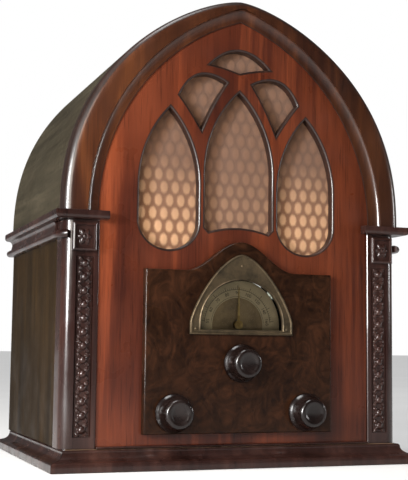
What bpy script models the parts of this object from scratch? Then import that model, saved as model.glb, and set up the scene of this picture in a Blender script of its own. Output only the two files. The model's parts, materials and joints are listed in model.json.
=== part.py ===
"""Cathedral table radio: arched wooden cabinet, tuning drive, loudspeaker and valve chassis.

Metres, +Z up, the front faces -Y. The origin is the centre of the underside.
Every sub-part is one closed body. Touching pieces are kept GAP apart.
"""
import math

import bmesh
import bpy
from mathutils import Vector

# ---- Driving dimensions of the cabinet -------------------------------------------------------
GAP = 0.0003
HEIGHT = 0.460
BASE_HALF_WIDTH = 0.1875
BASE_HEIGHT = 0.019
BASE_OVERHANG = 0.0172
FRONT_Y = -0.116
BACK_Y = 0.137
BOARD_HALF_WIDTH = BASE_HALF_WIDTH - BASE_OVERHANG - GAP
BOARD_FRONT_Y = -BACK_Y + BASE_OVERHANG + GAP

SPRING_Z = 0.240
ARCH_HALF_SPAN = 0.177
ARCH_RISE = HEIGHT - SPRING_Z
ARCH_FLANK_POWER = 2.32
ARCH_CROWN_POWER = 0.663
ROOF_THICKNESS = 0.0065
ROOF_FRONT_Y = FRONT_Y + 0.0163

SIDE_OUTER_X = 0.1755
SIDE_THICKNESS = 0.0095
SIDE_TOP_Z = SPRING_Z - 0.0005
WALL_FOOT_Z = BASE_HEIGHT + GAP

COLUMN_INNER_X = 0.1417
COLUMN_DEPTH = 0.028
COLUMN_CORNER_RADIUS = 0.012
LEDGE_TOP_Z = SPRING_Z - GAP
LEDGE_BOTTOM_Z = 0.2315
LEDGE_OVERHANG = 0.0100
LEDGE_INNER_X = 0.1345
BEAD_Z = 0.2175
BEAD_RADIUS = 0.0036
CAPITAL_X = (0.1455, 0.1680)
CAPITAL_Z = (0.2020, 0.2280)
CAPITAL_THICKNESS = 0.0055
FLUTE_X = (0.1475, 0.1625)
FLUTE_Z = (0.0300, 0.1970)
FLUTE_DEPTH = 0.0024
CARVING_BEADS = 13
CARVING_RELIEF = 0.0036

# ---- Front panel, its openings and what is laid on it ------------------------------------------
PANEL_Y = FRONT_Y + 0.002
PANEL_THICKNESS = 0.009
PANEL_BACK_Y = PANEL_Y + PANEL_THICKNESS
PANEL_HALF_WIDTH = 0.1413
INNER_ARCH_HALF_SPAN = 0.143
INNER_ARCH_RISE = 0.1987
BAND_FACE_Y = FRONT_Y - 0.005
BAND_RABBET = 0.0080
BAND_COVE = 0.0110
BAND_EDGE_ROUND = 0.0110

SIDE_LANCET = {"x": 0.0725, "half": 0.0302, "spring": 0.270, "rise": 0.076, "foot": 0.235, "drop": 0.0275}
MIDDLE_LANCET = {"half": 0.0355, "spring": 0.285, "rise": 0.082, "foot": 0.2265, "crown": 0.0050}
WINDOW_EDGE_ROUND = 0.0018

OVERLAY_HALF_WIDTH = 0.0975
OVERLAY_Z = (0.0318, 0.1875)
OVERLAY_THICKNESS = 0.0083
HOOD_HALF_WIDTH = 0.0575
HOOD_RISE = 0.0290
OVERLAY_BACK_Y = PANEL_Y - GAP
OVERLAY_Y = OVERLAY_BACK_Y - OVERLAY_THICKNESS

ESCUTCHEON_HALF_WIDTH = 0.0535
ESCUTCHEON_THICKNESS = 0.0033
ESCUTCHEON_Z = (0.126, 0.138, 0.204)
ESCUTCHEON_BACK_Y = OVERLAY_Y - GAP
BRONZE_EDGE_ROUND = 0.0014

# ---- Tuning drive -------------------------------------------------------------------------------
DIAL_Z = 0.1360
DIAL_WINDOW_RADIUS = 0.0425
DIAL_WINDOW_FOOT = 0.1310
GLASS_THICKNESS = 0.0012
POINTER_LENGTH = 0.0370
POINTER_HUB_RADIUS = 0.0046
POINTER_Y = (-0.1165, -0.1157)
DIAL_CARD_Y = (-0.1125, -0.1119)
BRACKET_HALF_WIDTH = 0.046
BRACKET_TOP_Z = 0.151
BRACKET_Y = (-0.1035, -0.1023)
LAMP_X = -0.026
LAMP_Z = 0.166
LAMP_STRAP_Z = (0.142, 0.174)
LAMP_STRAP_Y = (-0.1020, -0.1010)
ROTOR_SHAFT_RADIUS = 0.0040
ROTOR_HOLE_RADIUS = 0.0046
TUNING_Z = 0.0988
SHAFT_RADIUS = 0.0030
SHAFT_HOLE_RADIUS = 0.0035
SHAFT_BACK_Y = -0.0800
PANEL_HOLE_RADIUS = 0.0050
DRIVE_RATIO = 7.0
DRIVE_CENTRES = DIAL_Z - TUNING_Z - GAP
ROLLER_RADIUS = DRIVE_CENTRES / (DRIVE_RATIO + 1.0)
DRIVE_DISC_RADIUS = DRIVE_CENTRES - ROLLER_RADIUS
DRIVE_DISC_Y = (-0.0985, -0.0970)

CONTROL_X = 0.0685
CONTROL_Z = 0.0515
KNOB_RADIUS = 0.0185
KNOB_BACK_Y = OVERLAY_Y - 0.0009
KNOB_DEPTH = 0.0205
SHAFT_FRONT_Y = KNOB_BACK_Y - 0.0150

# ---- Loudspeaker ----------------------------------------------------------------------------------
SPEAKER_Z = 0.300
CLOTH_CORNERS = [(0.112, 0.2015), (0.112, 0.335), (0.052, 0.4165)]
CLOTH_THICKNESS = 0.0008
BAFFLE_CORNERS = [(0.120, 0.203), (0.120, 0.333), (0.053, 0.417)]
BAFFLE_Y = (PANEL_BACK_Y + 0.0014, PANEL_BACK_Y + 0.0104)
BAFFLE_HOLE_RADIUS = 0.084
FLANGE_RADIUS = 0.096
BASKET_WINDOW_HALF = 0.022
OUTPUT_CORE = ((0.0860, 0.2050), (0.1170, 0.2350))
OUTPUT_WINDING = ((0.0910, 0.2090), (0.1120, 0.2310))

# ---- Chassis --------------------------------------------------------------------------------------
CHASSIS_HALF_WIDTH = 0.130
CHASSIS_Y = (-0.100, 0.095)
CHASSIS_Z = (BASE_HEIGHT + 2 * GAP, 0.0795)
CHASSIS_WALL = 0.0012
DECK_Z = CHASSIS_Z[1] + GAP
CONDENSER_Y = (-0.088, 0.008)
CONDENSER_HALF_WIDTH = 0.034
CONDENSER_TOP_Z = 0.172
CONDENSER_SHEET = 0.0016
CONDENSER_DIVIDER = 0.0012
CONDENSER_PLATE = 0.0010
STATOR_X = 0.0075
STATOR_Z = (0.1050, 0.1670)
STATORS_PER_SECTION = 3
ROTOR_PLATE_RADIUS = 0.0290
ROTOR_COLLAR_RADIUS = 0.0056
ROTOR_Y = (-0.1154, 0.0115)
CORD_HOLE = (0.085, 0.046)
CORD_HOLE_RADIUS = 0.0074
TERMINAL_X = (-0.085, -0.035)
TERMINAL_Z = (0.040, 0.056)
TERMINAL_POSTS_X = (-0.072, -0.048)
BOLT_PLACES = [(-0.1235, -0.080), (0.1235, -0.080), (-0.1235, 0.075), (0.1235, 0.075)]
STAGE_ROWS_Y = (-0.062, -0.003, 0.056)
SHIELD_X = -0.062
COIL_CAN_X = -0.105
FILTER_PLACE = (0.0920, -0.0560)
POWER_CORE = ((0.0650, 0.0440, 0.0), (0.1240, 0.0740, 0.0620))
POWER_BELLS = ((0.0700, 0.0340, 0.0050), (0.1190, 0.0840, 0.0570))
POWER_BELL_ROUND = 0.0060
TUBE_BASE_HEIGHT = 0.0260
# x, y, base radius, bulb radius, height
TUBES = {
    "rectifier_tube": (0.0950, -0.0030, 0.0170, 0.0230, 0.118),
    "output_tube": (0.0350, 0.0580, 0.0170, 0.0235, 0.128),
    "audio_tube": (-0.0150, 0.0580, 0.0155, 0.0195, 0.104),
}

FINISHES = {
    "red_walnut": ((0.160, 0.040, 0.018), 0.35, 0.0),
    "dark_walnut": ((0.050, 0.022, 0.012), 0.35, 0.0),
    "burl": ((0.045, 0.018, 0.009), 0.30, 0.0),
    "roof_veneer": ((0.060, 0.045, 0.028), 0.50, 0.0),
    "board": ((0.300, 0.190, 0.100), 0.75, 0.0),
    "bronze": ((0.120, 0.085, 0.045), 0.45, 0.9),
    "glass": ((0.850, 0.850, 0.800), 0.08, 0.0),
    "scale_card": ((0.600, 0.480, 0.280), 0.60, 0.0),
    "cloth": ((0.450, 0.250, 0.120), 0.90, 0.0),
    "steel": ((0.450, 0.440, 0.420), 0.40, 0.9),
    "black_paint": ((0.020, 0.020, 0.020), 0.50, 0.0),
    "paper": ((0.060, 0.050, 0.040), 0.90, 0.0),
    "aluminium": ((0.600, 0.600, 0.600), 0.35, 1.0),
    "brass": ((0.550, 0.380, 0.150), 0.35, 1.0),
    "bakelite": ((0.018, 0.010, 0.008), 0.20, 0.0),
    "rubber": ((0.015, 0.015, 0.015), 0.80, 0.0),
}


# ---- Scene helpers ----------------------------------------------------------------------------------
def clear_scene():
    for old in list(bpy.data.objects):
        bpy.data.objects.remove(old, do_unlink=True)


def finish_material(name):
    """Return the Principled BSDF material of one finish, made on first use."""
    found = bpy.data.materials.get(name)
    if found:
        return found
    colour, roughness, metallic = FINISHES[name]
    made = bpy.data.materials.new(name)
    made.use_nodes = True
    shader = made.node_tree.nodes["Principled BSDF"]
    shader.inputs["Base Color"].default_value = (*colour, 1.0)
    shader.inputs["Roughness"].default_value = roughness
    shader.inputs["Metallic"].default_value = metallic
    return made


def add_part(name, shape, finish, axis_point=None, sharp_deg=35):
    """Turn a bmesh into a named object whose origin may sit on a joint's axis."""
    bmesh.ops.recalc_face_normals(shape, faces=shape.faces)
    if axis_point:
        bmesh.ops.translate(shape, verts=shape.verts, vec=-Vector(axis_point))
    mesh = bpy.data.meshes.new(name)
    shape.to_mesh(mesh)
    shape.free()
    mesh.shade_smooth()
    mesh.set_sharp_from_angle(angle=math.radians(sharp_deg))
    mesh.materials.append(finish_material(finish))
    part = bpy.data.objects.new(name, mesh)
    part.location = axis_point or (0, 0, 0)
    bpy.context.scene.collection.objects.link(part)
    return part


def combine(part, shapes, operation):
    """Apply one Boolean between a part and every shape in turn, and bake the result."""
    for shape in shapes:
        tool = add_part("tool", shape, "steel")
        modifier = part.modifiers.new("combine", "BOOLEAN")
        modifier.operation = operation
        modifier.solver = "EXACT"
        modifier.object = tool
        bpy.context.view_layer.update()
        evaluated = part.evaluated_get(bpy.context.evaluated_depsgraph_get())
        baked = bpy.data.meshes.new_from_object(evaluated)
        part.modifiers.clear()
        part.data = baked
        bpy.data.objects.remove(tool, do_unlink=True)
    part.data.shade_smooth()
    part.data.set_sharp_from_angle(angle=math.radians(35))
    return part


def add_bevel(part, width, segments=1):
    modifier = part.modifiers.new("edge", "BEVEL")
    modifier.width = width
    modifier.segments = segments
    modifier.limit_method = "ANGLE"
    modifier.angle_limit = math.radians(50)
    return part


# ---- Shape helpers ----------------------------------------------------------------------------------
def pairs(ring):
    return list(zip(ring, ring[1:] + ring[:1]))


def bridge(shape, ring_a, ring_b):
    for (a, b), (c, d) in zip(pairs(ring_a), pairs(ring_b)):
        shape.faces.new((a, b, d, c))


def fill(shape, rings):
    """Close flat loops with triangles. Inner loops stay open as holes."""
    edges = []
    for ring in rings:
        for a, b in pairs(ring):
            edges.append(shape.edges.get((a, b)) or shape.edges.new((a, b)))
    bmesh.ops.triangle_fill(shape, edges=edges, use_beauty=True, use_dissolve=False)


def block(low, high):
    shape = bmesh.new()
    bmesh.ops.create_cube(shape, size=1.0)
    size = [high[i] - low[i] for i in range(3)]
    centre = [(high[i] + low[i]) / 2 for i in range(3)]
    bmesh.ops.scale(shape, verts=shape.verts, vec=size)
    bmesh.ops.translate(shape, verts=shape.verts, vec=centre)
    return shape


def skin(rings, closed=False):
    """Skin a row of equal rings. The row closes on itself, or its two ends are filled."""
    shape = bmesh.new()
    made = [[shape.verts.new(point) for point in ring] for ring in rings]
    for ring_a, ring_b in zip(made, made[1:]):
        bridge(shape, ring_a, ring_b)
    if closed:
        bridge(shape, made[-1], made[0])
    else:
        fill(shape, [made[0]])
        fill(shape, [made[-1]])
    return shape


def offset_ring(points, distance):
    """Move a counter-clockwise ring of (x, z) points inwards by a distance, mitred at corners."""
    moved = []
    count = len(points)
    for i, point in enumerate(points):
        before = Vector(point) - Vector(points[i - 1])
        after = Vector(points[(i + 1) % count]) - Vector(point)
        normal_a = Vector((-before.y, before.x)).normalized()
        normal_b = Vector((-after.y, after.x)).normalized()
        mitre = (normal_a + normal_b) / max(1.0 + normal_a.dot(normal_b), 0.35)
        moved.append(tuple(Vector(point) + mitre * distance))
    return moved


def counter_clockwise(points):
    area = sum(a[0] * b[1] - b[0] * a[1] for a, b in pairs(points))
    return list(points) if area > 0 else list(reversed(points))


def rounded_layers(points, y_front, y_back, edge, steps=1):
    """Rings of one wall of a plate, from its rounded front edge to its back."""
    layers = []
    for step in range(steps + 1 if edge else 1):
        angle = math.pi / 2 * step / steps
        inset = edge * (1 - math.sin(angle))
        depth = edge * (1 - math.cos(angle))
        ring = offset_ring(points, inset) if edge else points
        layers.append([(x, y_front + depth, z) for x, z in ring])
    layers.append([(x, y_back, z) for x, z in points])
    return layers


def plate(outline, holes, y_front, y_back, edge=0.0, hole_edge=0.0):
    """A flat plate in the XZ plane. Front edges are rounded by edge and hole_edge."""
    shape = bmesh.new()
    walls = [rounded_layers(counter_clockwise(outline), y_front, y_back, edge)]
    for hole in holes:
        walls.append(rounded_layers(counter_clockwise(hole)[::-1], y_front, y_back, hole_edge))
    fronts = []
    backs = []
    for layers in walls:
        rings = [[shape.verts.new(point) for point in layer] for layer in layers]
        for ring_a, ring_b in zip(rings, rings[1:]):
            bridge(shape, ring_a, ring_b)
        fronts.append(rings[0])
        backs.append(rings[-1])
    fill(shape, fronts)
    fill(shape, backs)
    return shape


def lathe(profile, centre, axis="Y", segments=16, loop=False):
    """Turn (radius, height) points about an axis through centre.

    An open profile starts and ends on the axis. A looped one makes a ring.
    """
    shape = bmesh.new()
    rows = []
    for radius, height in profile:
        count = 1 if radius == 0 else segments
        row = []
        for i in range(count):
            angle = 2 * math.pi * i / segments
            across = radius * math.cos(angle)
            up = radius * math.sin(angle)
            local = (across, height, up) if axis == "Y" else (across, up, height)
            row.append(shape.verts.new(Vector(centre) + Vector(local)))
        rows.append(row)
    if loop:
        rows.append(rows[0])
    for row_a, row_b in zip(rows, rows[1:]):
        if len(row_a) == 1:
            for a, b in pairs(row_b):
                shape.faces.new((row_a[0], a, b))
        elif len(row_b) == 1:
            for a, b in pairs(row_a):
                shape.faces.new((row_b[0], a, b))
        else:
            bridge(shape, row_a, row_b)
    return shape


def rod(radius, start, end, segments=12, axis="Y"):
    """A plain round bar along Y or Z, from start to end."""
    length = (Vector(end) - Vector(start)).length
    profile = [(0, 0), (radius, 0), (radius, length), (0, length)]
    return lathe(profile, start, axis, segments)


def sweep(profile, path, before=None, after=None):
    """Run an (outward, z) profile along a plan path. Outward is left of the way travelled.

    before and after are the ways that a mitred end is cut for.
    """
    ways = [(Vector(b) - Vector(a)).normalized() for a, b in zip(path, path[1:])]
    first = Vector(before) if before else ways[0]
    last = Vector(after) if after else ways[-1]
    ways = [first] + ways + [last]
    rings = []
    for point, way_in, way_out in zip(path, ways, ways[1:]):
        normal_in = Vector((-way_in.y, way_in.x))
        normal_out = Vector((-way_out.y, way_out.x))
        mitre = (normal_in + normal_out) / (1.0 + normal_in.dot(normal_out))
        rings.append([(point[0] + mitre.x * out, point[1] + mitre.y * out, z) for out, z in profile])
    return skin(rings)


def mirrored(shape, sign):
    bmesh.ops.scale(shape, verts=shape.verts, vec=(sign, 1.0, 1.0))
    return shape


def both_sides(name, make, finish, sharp_deg=35):
    """Add NAME_right, and NAME_left as its mirror image."""
    parts = []
    for side, sign in (("right", 1.0), ("left", -1.0)):
        parts.append(add_part(f"{name}_{side}", mirrored(make(), sign), finish, sharp_deg=sharp_deg))
    return parts


def symmetric(right_half):
    """An outline from its right half, listed from the bottom up."""
    return right_half + [(-x, z) for x, z in reversed(right_half)]


def rectangle(x_range, z_range):
    x_low, x_high = x_range
    z_low, z_high = z_range
    return [(x_low, z_low), (x_high, z_low), (x_high, z_high), (x_low, z_high)]


def round_hole(x, z, radius, segments=14):
    return [(x + radius * math.cos(2 * math.pi * i / segments),
             z + radius * math.sin(2 * math.pi * i / segments)) for i in range(segments)]


def bowed(start, end, bow, steps):
    """Points from start to just before end on an arc that bows left of the way by bow."""
    a = Vector(start)
    b = Vector(end)
    left = Vector((-(b - a).y, (b - a).x)).normalized()
    points = []
    for step in range(steps):
        t = step / steps
        points.append(tuple(a.lerp(b, t) + left * bow * 4 * t * (1 - t)))
    return points


# ---- Outlines ---------------------------------------------------------------------------------------
def pointed_arch(half, rise, spring_z, centre_x=0.0, steps=7):
    """Two-centred arch, from its right foot over the point to its left foot."""
    reach = (rise * rise - half * half) / (2 * half)
    radius = half + reach
    sweep_angle = math.acos(reach / radius)
    right = []
    for step in range(steps):
        angle = sweep_angle * step / steps
        right.append((radius * math.cos(angle) - reach, spring_z + radius * math.sin(angle)))
    left = [(-x, z) for x, z in reversed(right)]
    points = right + [(0.0, spring_z + rise)] + left
    return [(centre_x + x, z) for x, z in points]


def crowned_half_width(height_share, half, flank_power, crown_power):
    """Half width of a crowned arch at a share of its rise."""
    return half * (1 - height_share ** flank_power) ** crown_power


def outer_arch(inset=0.0, steps=18):
    """The cabinet's arched outline, from its right foot to its left foot."""
    right = []
    for step in range(steps):
        share = math.sin(math.pi / 2 * step / steps)
        half = crowned_half_width(share, ARCH_HALF_SPAN - inset, ARCH_FLANK_POWER, ARCH_CROWN_POWER)
        right.append((half, SPRING_Z + (ARCH_RISE - inset) * share))
    left = [(-x, z) for x, z in reversed(right)]
    return right + [(0.0, HEIGHT - inset)] + left


def side_lancet(sign):
    lancet = SIDE_LANCET
    points = pointed_arch(lancet["half"], lancet["rise"], lancet["spring"], sign * lancet["x"])
    steps = 8
    for step in range(steps + 1):
        angle = math.pi * step / steps
        x = sign * lancet["x"] - lancet["half"] * math.cos(angle)
        points.append((x, lancet["foot"] - lancet["drop"] * math.sin(angle)))
    return points


def middle_lancet():
    lancet = MIDDLE_LANCET
    points = pointed_arch(lancet["half"], lancet["rise"], lancet["spring"])
    corner = 0.004
    left = (-lancet["half"], lancet["foot"] + corner)
    left_foot = (-lancet["half"] + corner, lancet["foot"])
    right_foot = (lancet["half"] - corner, lancet["foot"])
    right = (lancet["half"], lancet["foot"] + corner)
    points += [left, *bowed(left_foot, right_foot, lancet["crown"], 6), right_foot, right]
    return points


def spandrel(sign):
    """The leaf-shaped opening between two lancet heads."""
    outer_tip = (0.0630, 0.3595)
    inner_tip = (0.0140, 0.3760)
    foot = (0.0400, 0.3270)
    points = bowed(outer_tip, inner_tip, -0.0140, 6)
    points += bowed(inner_tip, foot, 0.0016, 3)
    points += bowed(foot, outer_tip, 0.0008, 3)
    return [(sign * x, z) for x, z in points]


def crown_lens():
    tip_x = 0.0310
    tip_z = 0.3935
    points = bowed((tip_x, tip_z), (-tip_x, tip_z), -0.0155, 10)
    points += bowed((-tip_x, tip_z), (0.0, 0.3870), 0.0008, 2)
    points += bowed((0.0, 0.3870), (tip_x, tip_z), 0.0008, 2)
    return points


def window_openings():
    return [side_lancet(-1), middle_lancet(), side_lancet(1), spandrel(-1), spandrel(1), crown_lens()]


def half_moon(radius, foot_z, steps=16):
    """A half disc about the dial centre with straight sides down to foot_z."""
    points = []
    for step in range(steps + 1):
        angle = math.pi * step / steps
        points.append((radius * math.cos(angle), DIAL_Z + radius * math.sin(angle)))
    return points + [(-radius, foot_z), (radius, foot_z)]


def shaft_holes(radius):
    places = [(0.0, TUNING_Z), (-CONTROL_X, CONTROL_Z), (CONTROL_X, CONTROL_Z)]
    return [round_hole(x, z, radius) for x, z in places]


# ---- Base and cabinet walls ---------------------------------------------------------------------------
def base_profile():
    """(outward, z) section of the base moulding: a square foot under a hollow slope."""
    points = [(0.0, 0.0), (BASE_OVERHANG, 0.0), (BASE_OVERHANG, 0.0070), (BASE_OVERHANG - 0.0016, 0.0086)]
    hollow_steps = 5
    for step in range(hollow_steps + 1):
        angle = math.pi / 2 * step / hollow_steps
        out = 0.0040 + 0.0095 * (1 - math.sin(angle))
        points.append((out, 0.0096 + 0.0074 * (1 - math.cos(angle))))
    return points + [(0.0030, BASE_HEIGHT), (0.0, BASE_HEIGHT)]


def build_base():
    board = add_part("bottom_board", block((-BOARD_HALF_WIDTH, BOARD_FRONT_Y, 0.0),
                                           (BOARD_HALF_WIDTH, BACK_Y, BASE_HEIGHT)), "board")
    bolt_holes = []
    for x, y in BOLT_PLACES:
        profile = [(0, -0.001), (0.0070, -0.001), (0.0070, 0.0055), (0.0026, 0.0055), (0.0026, 0.03),
                   (0, 0.03)]
        bolt_holes.append(lathe(profile, (x, y, 0.0), "Z", 10))
    combine(board, bolt_holes, "DIFFERENCE")

    side_x = BOARD_HALF_WIDTH + GAP
    front_y = BOARD_FRONT_Y - GAP

    def side_run():
        path = [(side_x, BACK_Y), (side_x, front_y + GAP)]
        return sweep(base_profile(), path, after=(-1, 0))

    both_sides("base_moulding", side_run, "dark_walnut")
    path = [(side_x - GAP, front_y), (-side_x + GAP, front_y)]
    front_run = sweep(base_profile(), path, before=(0, -1), after=(0, 1))
    add_part("base_moulding_front", front_run, "dark_walnut")


def build_walls():
    def side_panel():
        return block((SIDE_OUTER_X - SIDE_THICKNESS, FRONT_Y + COLUMN_DEPTH + GAP, WALL_FOOT_Z),
                     (SIDE_OUTER_X, BACK_Y, SIDE_TOP_Z))

    for part in both_sides("side_panel", side_panel, "dark_walnut"):
        add_bevel(part, 0.0008)
    outline = outer_arch() + outer_arch(ROOF_THICKNESS)[::-1]
    add_part("roof_shell", plate(outline, [], ROOF_FRONT_Y, BACK_Y), "roof_veneer")


def column_plan():
    """Plan section of the corner post, rounded on its outer front corner."""
    outer_x = SIDE_OUTER_X
    back_y = FRONT_Y + COLUMN_DEPTH
    points = [(COLUMN_INNER_X, back_y), (COLUMN_INNER_X, FRONT_Y)]
    steps = 6
    for step in range(steps + 1):
        angle = math.pi / 2 * step / steps
        x = outer_x - COLUMN_CORNER_RADIUS * (1 - math.sin(angle))
        y = FRONT_Y + COLUMN_CORNER_RADIUS * (1 - math.cos(angle))
        points.append((x, y))
    return points + [(outer_x, back_y)]


def build_columns():
    top_z = LEDGE_BOTTOM_Z - GAP

    def post():
        return skin([[(x, y, z) for x, y in column_plan()] for z in (WALL_FOOT_Z, top_z)])

    for part, sign in zip(both_sides("column", post, "dark_walnut"), (1, -1)):
        x_low, x_high = sorted((sign * FLUTE_X[0], sign * FLUTE_X[1]))
        flute = block((x_low, FRONT_Y - 0.005, FLUTE_Z[0]), (x_high, FRONT_Y + FLUTE_DEPTH, FLUTE_Z[1]))
        combine(part, [flute], "DIFFERENCE")

    both_sides("column_carving", carving_strip, "dark_walnut")

    def capital():
        back_y = FRONT_Y - GAP
        return plate(rectangle(CAPITAL_X, CAPITAL_Z), [], back_y - CAPITAL_THICKNESS, back_y, edge=0.0016)

    both_sides("capital_block", capital, "dark_walnut")


def carving_strip():
    """A strip of beads in a row, shaped as a height field over a flat back."""
    x_low = FLUTE_X[0] + GAP
    x_high = FLUTE_X[1] - GAP
    z_low = FLUTE_Z[0] + GAP
    z_high = FLUTE_Z[1] - GAP
    pitch = (z_high - z_low) / CARVING_BEADS
    back_y = FRONT_Y + FLUTE_DEPTH - GAP
    rim_y = back_y - 0.0010
    columns = 4
    rows_per_bead = 2
    rows = CARVING_BEADS * rows_per_bead
    shape = bmesh.new()
    grid = []
    for row in range(rows + 1):
        along = row / rows_per_bead
        bead = math.sin(math.pi * (along % 1.0))
        line = []
        for column in range(columns + 1):
            across = math.sin(math.pi * column / columns)
            height = CARVING_RELIEF * math.sqrt(bead * across)
            x = x_low + (x_high - x_low) * column / columns
            line.append(shape.verts.new((x, rim_y - height, z_low + along * pitch)))
        grid.append(line)
    for line_a, line_b in zip(grid, grid[1:]):
        for i in range(columns):
            shape.faces.new((line_a[i], line_a[i + 1], line_b[i + 1], line_b[i]))
    rim = grid[0] + [line[-1] for line in grid[1:-1]] + grid[-1][::-1]
    rim += [line[0] for line in grid[-2:0:-1]]
    foot = [shape.verts.new((vert.co.x, back_y, vert.co.z)) for vert in rim]
    bridge(shape, rim, foot)
    fill(shape, [foot])
    return shape


def build_imposts():
    """The string course: a ledge with a front return over each column, and a lower bead."""
    wall_x = SIDE_OUTER_X + GAP
    out = LEDGE_OVERHANG
    ledge = [(0.0, LEDGE_BOTTOM_Z), (out * 0.62, LEDGE_BOTTOM_Z), (out * 0.86, LEDGE_BOTTOM_Z + 0.0012),
             (out, LEDGE_BOTTOM_Z + 0.0034), (out, LEDGE_TOP_Z - 0.0022), (out * 0.84, LEDGE_TOP_Z),
             (0.0, LEDGE_TOP_Z)]
    bead = [(0.0, BEAD_Z - BEAD_RADIUS)]
    for step in range(6):
        angle = math.pi * (step / 5 - 0.5)
        bead.append((0.0040 + BEAD_RADIUS * math.cos(angle), BEAD_Z + BEAD_RADIUS * math.sin(angle)))
    bead.append((0.0, BEAD_Z + BEAD_RADIUS))
    back_plate = [(0.0, BEAD_Z - BEAD_RADIUS), (0.0016, BEAD_Z - BEAD_RADIUS), (0.0016, LEDGE_TOP_Z),
                  (0.0, LEDGE_TOP_Z)]
    front_y = FRONT_Y - GAP
    corner = COLUMN_CORNER_RADIUS
    rounded = [(wall_x, BACK_Y)]
    for step in range(5):
        angle = math.radians(60) * step / 4
        x = wall_x - corner * (1 - math.cos(angle))
        y = front_y + corner * (1 - math.sin(angle))
        rounded.append((x, y))

    for side, sign in (("right", 1.0), ("left", -1.0)):
        top_run = sweep(ledge, [(wall_x, BACK_Y), (wall_x, front_y), (LEDGE_INNER_X, front_y)])
        part = add_part(f"impost_moulding_{side}", mirrored(top_run, sign), "dark_walnut")
        cap = block((COLUMN_INNER_X, FRONT_Y - 0.0010, LEDGE_BOTTOM_Z),
                    (wall_x + 0.0010, FRONT_Y + COLUMN_DEPTH, LEDGE_TOP_Z))
        lower_run = sweep(bead, rounded)
        plate_run = sweep(back_plate, [(wall_x, BACK_Y), (wall_x, FRONT_Y + COLUMN_DEPTH)])
        pieces = [mirrored(piece, sign) for piece in (cap, plate_run, lower_run)]
        combine(part, pieces, "UNION")


# ---- Front panel and arch -----------------------------------------------------------------------------
def inner_arch_geometry():
    half = INNER_ARCH_HALF_SPAN
    reach = (INNER_ARCH_RISE ** 2 - half ** 2) / (2 * half)
    return reach, half + reach


def inner_arch_point(offset, share):
    """A point on the arch's inner curve, moved outwards by offset. share runs from foot to crown."""
    reach, radius = inner_arch_geometry()
    radius += offset
    angle = math.acos(reach / radius) * share
    return radius * math.cos(angle) - reach, SPRING_Z + radius * math.sin(angle)


def outer_arch_point(inset, share):
    """A point on the arch's outer curve on the same ray from the inner curve's centre."""
    reach = inner_arch_geometry()[0]
    half_span = ARCH_HALF_SPAN - inset
    rise = ARCH_RISE - inset
    wanted = math.atan2(rise, reach) * share
    low = 0.0
    high = 1.0
    for _ in range(40):
        middle = (low + high) / 2
        half = crowned_half_width(middle, half_span, ARCH_FLANK_POWER, ARCH_CROWN_POWER)
        if math.atan2(rise * middle, half + reach) < wanted:
            low = middle
        else:
            high = middle
    half = crowned_half_width(low, half_span, ARCH_FLANK_POWER, ARCH_CROWN_POWER)
    return (0.0 if share == 1.0 else half), SPRING_Z + rise * low


def band_section(share):
    """The arch moulding's section at one station, as (x, y, z) points on the right side."""
    section = []

    def add(point, y):
        section.append((point[0], y, point[1]))

    depth = PANEL_Y - GAP - BAND_FACE_Y
    add(inner_arch_point(0.0, share), PANEL_Y - GAP)
    cove_steps = 3
    for step in range(cove_steps + 1):
        angle = math.pi / 2 * step / cove_steps
        out = 0.0006 + BAND_COVE * math.sin(angle)
        y = PANEL_Y - GAP - 0.0012 - (depth - 0.0012) * (1 - math.cos(angle))
        add(inner_arch_point(out, share), y)
    round_steps = 3
    for step in range(round_steps + 1):
        angle = math.pi / 2 * step / round_steps
        inset = BAND_EDGE_ROUND * (1 - math.sin(angle))
        y = BAND_FACE_Y + 0.0075 * (1 - math.cos(angle))
        add(outer_arch_point(inset, share), y)
    add(outer_arch_point(0.0, share), ROOF_FRONT_Y - GAP)
    add(inner_arch_point(BAND_RABBET, share), ROOF_FRONT_Y - GAP)
    add(inner_arch_point(BAND_RABBET, share), PANEL_Y - GAP)
    return section


def build_arch_moulding():
    steps = 15
    right = [band_section(step / steps) for step in range(steps + 1)]
    left = [[(-x, y, z) for x, y, z in section] for section in reversed(right[:-1])]
    add_part("front_arch_moulding", skin(right + left), "red_walnut", sharp_deg=40)


def panel_outline():
    steps = 15
    right = [inner_arch_point(BAND_RABBET - 2 * GAP, step / steps) for step in range(steps + 1)]
    left = [(-x, z) for x, z in reversed(right[:-1])]
    return [(-PANEL_HALF_WIDTH, SPRING_Z), (-PANEL_HALF_WIDTH, WALL_FOOT_Z),
            (PANEL_HALF_WIDTH, WALL_FOOT_Z), (PANEL_HALF_WIDTH, SPRING_Z)] + right + left


def build_front():
    holes = window_openings() + [half_moon(0.0490, 0.1240)] + shaft_holes(PANEL_HOLE_RADIUS)
    panel = plate(panel_outline(), holes, PANEL_Y, PANEL_BACK_Y, hole_edge=WINDOW_EDGE_ROUND)
    add_part("front_panel", panel, "red_walnut", sharp_deg=40)

    hood = []
    steps = 16
    for step in range(steps + 1):
        x = HOOD_HALF_WIDTH * (1 - 2 * step / steps)
        hood.append((x, OVERLAY_Z[1] + HOOD_RISE * 0.5 * (1 + math.cos(math.pi * x / HOOD_HALF_WIDTH))))
    outline = [(-OVERLAY_HALF_WIDTH, OVERLAY_Z[1]), (-OVERLAY_HALF_WIDTH, OVERLAY_Z[0]),
               (OVERLAY_HALF_WIDTH, OVERLAY_Z[0]), (OVERLAY_HALF_WIDTH, OVERLAY_Z[1])] + hood
    holes = [half_moon(0.0460, 0.1275)] + shaft_holes(0.0050)
    overlay = plate(outline, holes, OVERLAY_Y, OVERLAY_BACK_Y, edge=0.0020)
    add_part("instrument_panel", overlay, "burl", sharp_deg=40)


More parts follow.
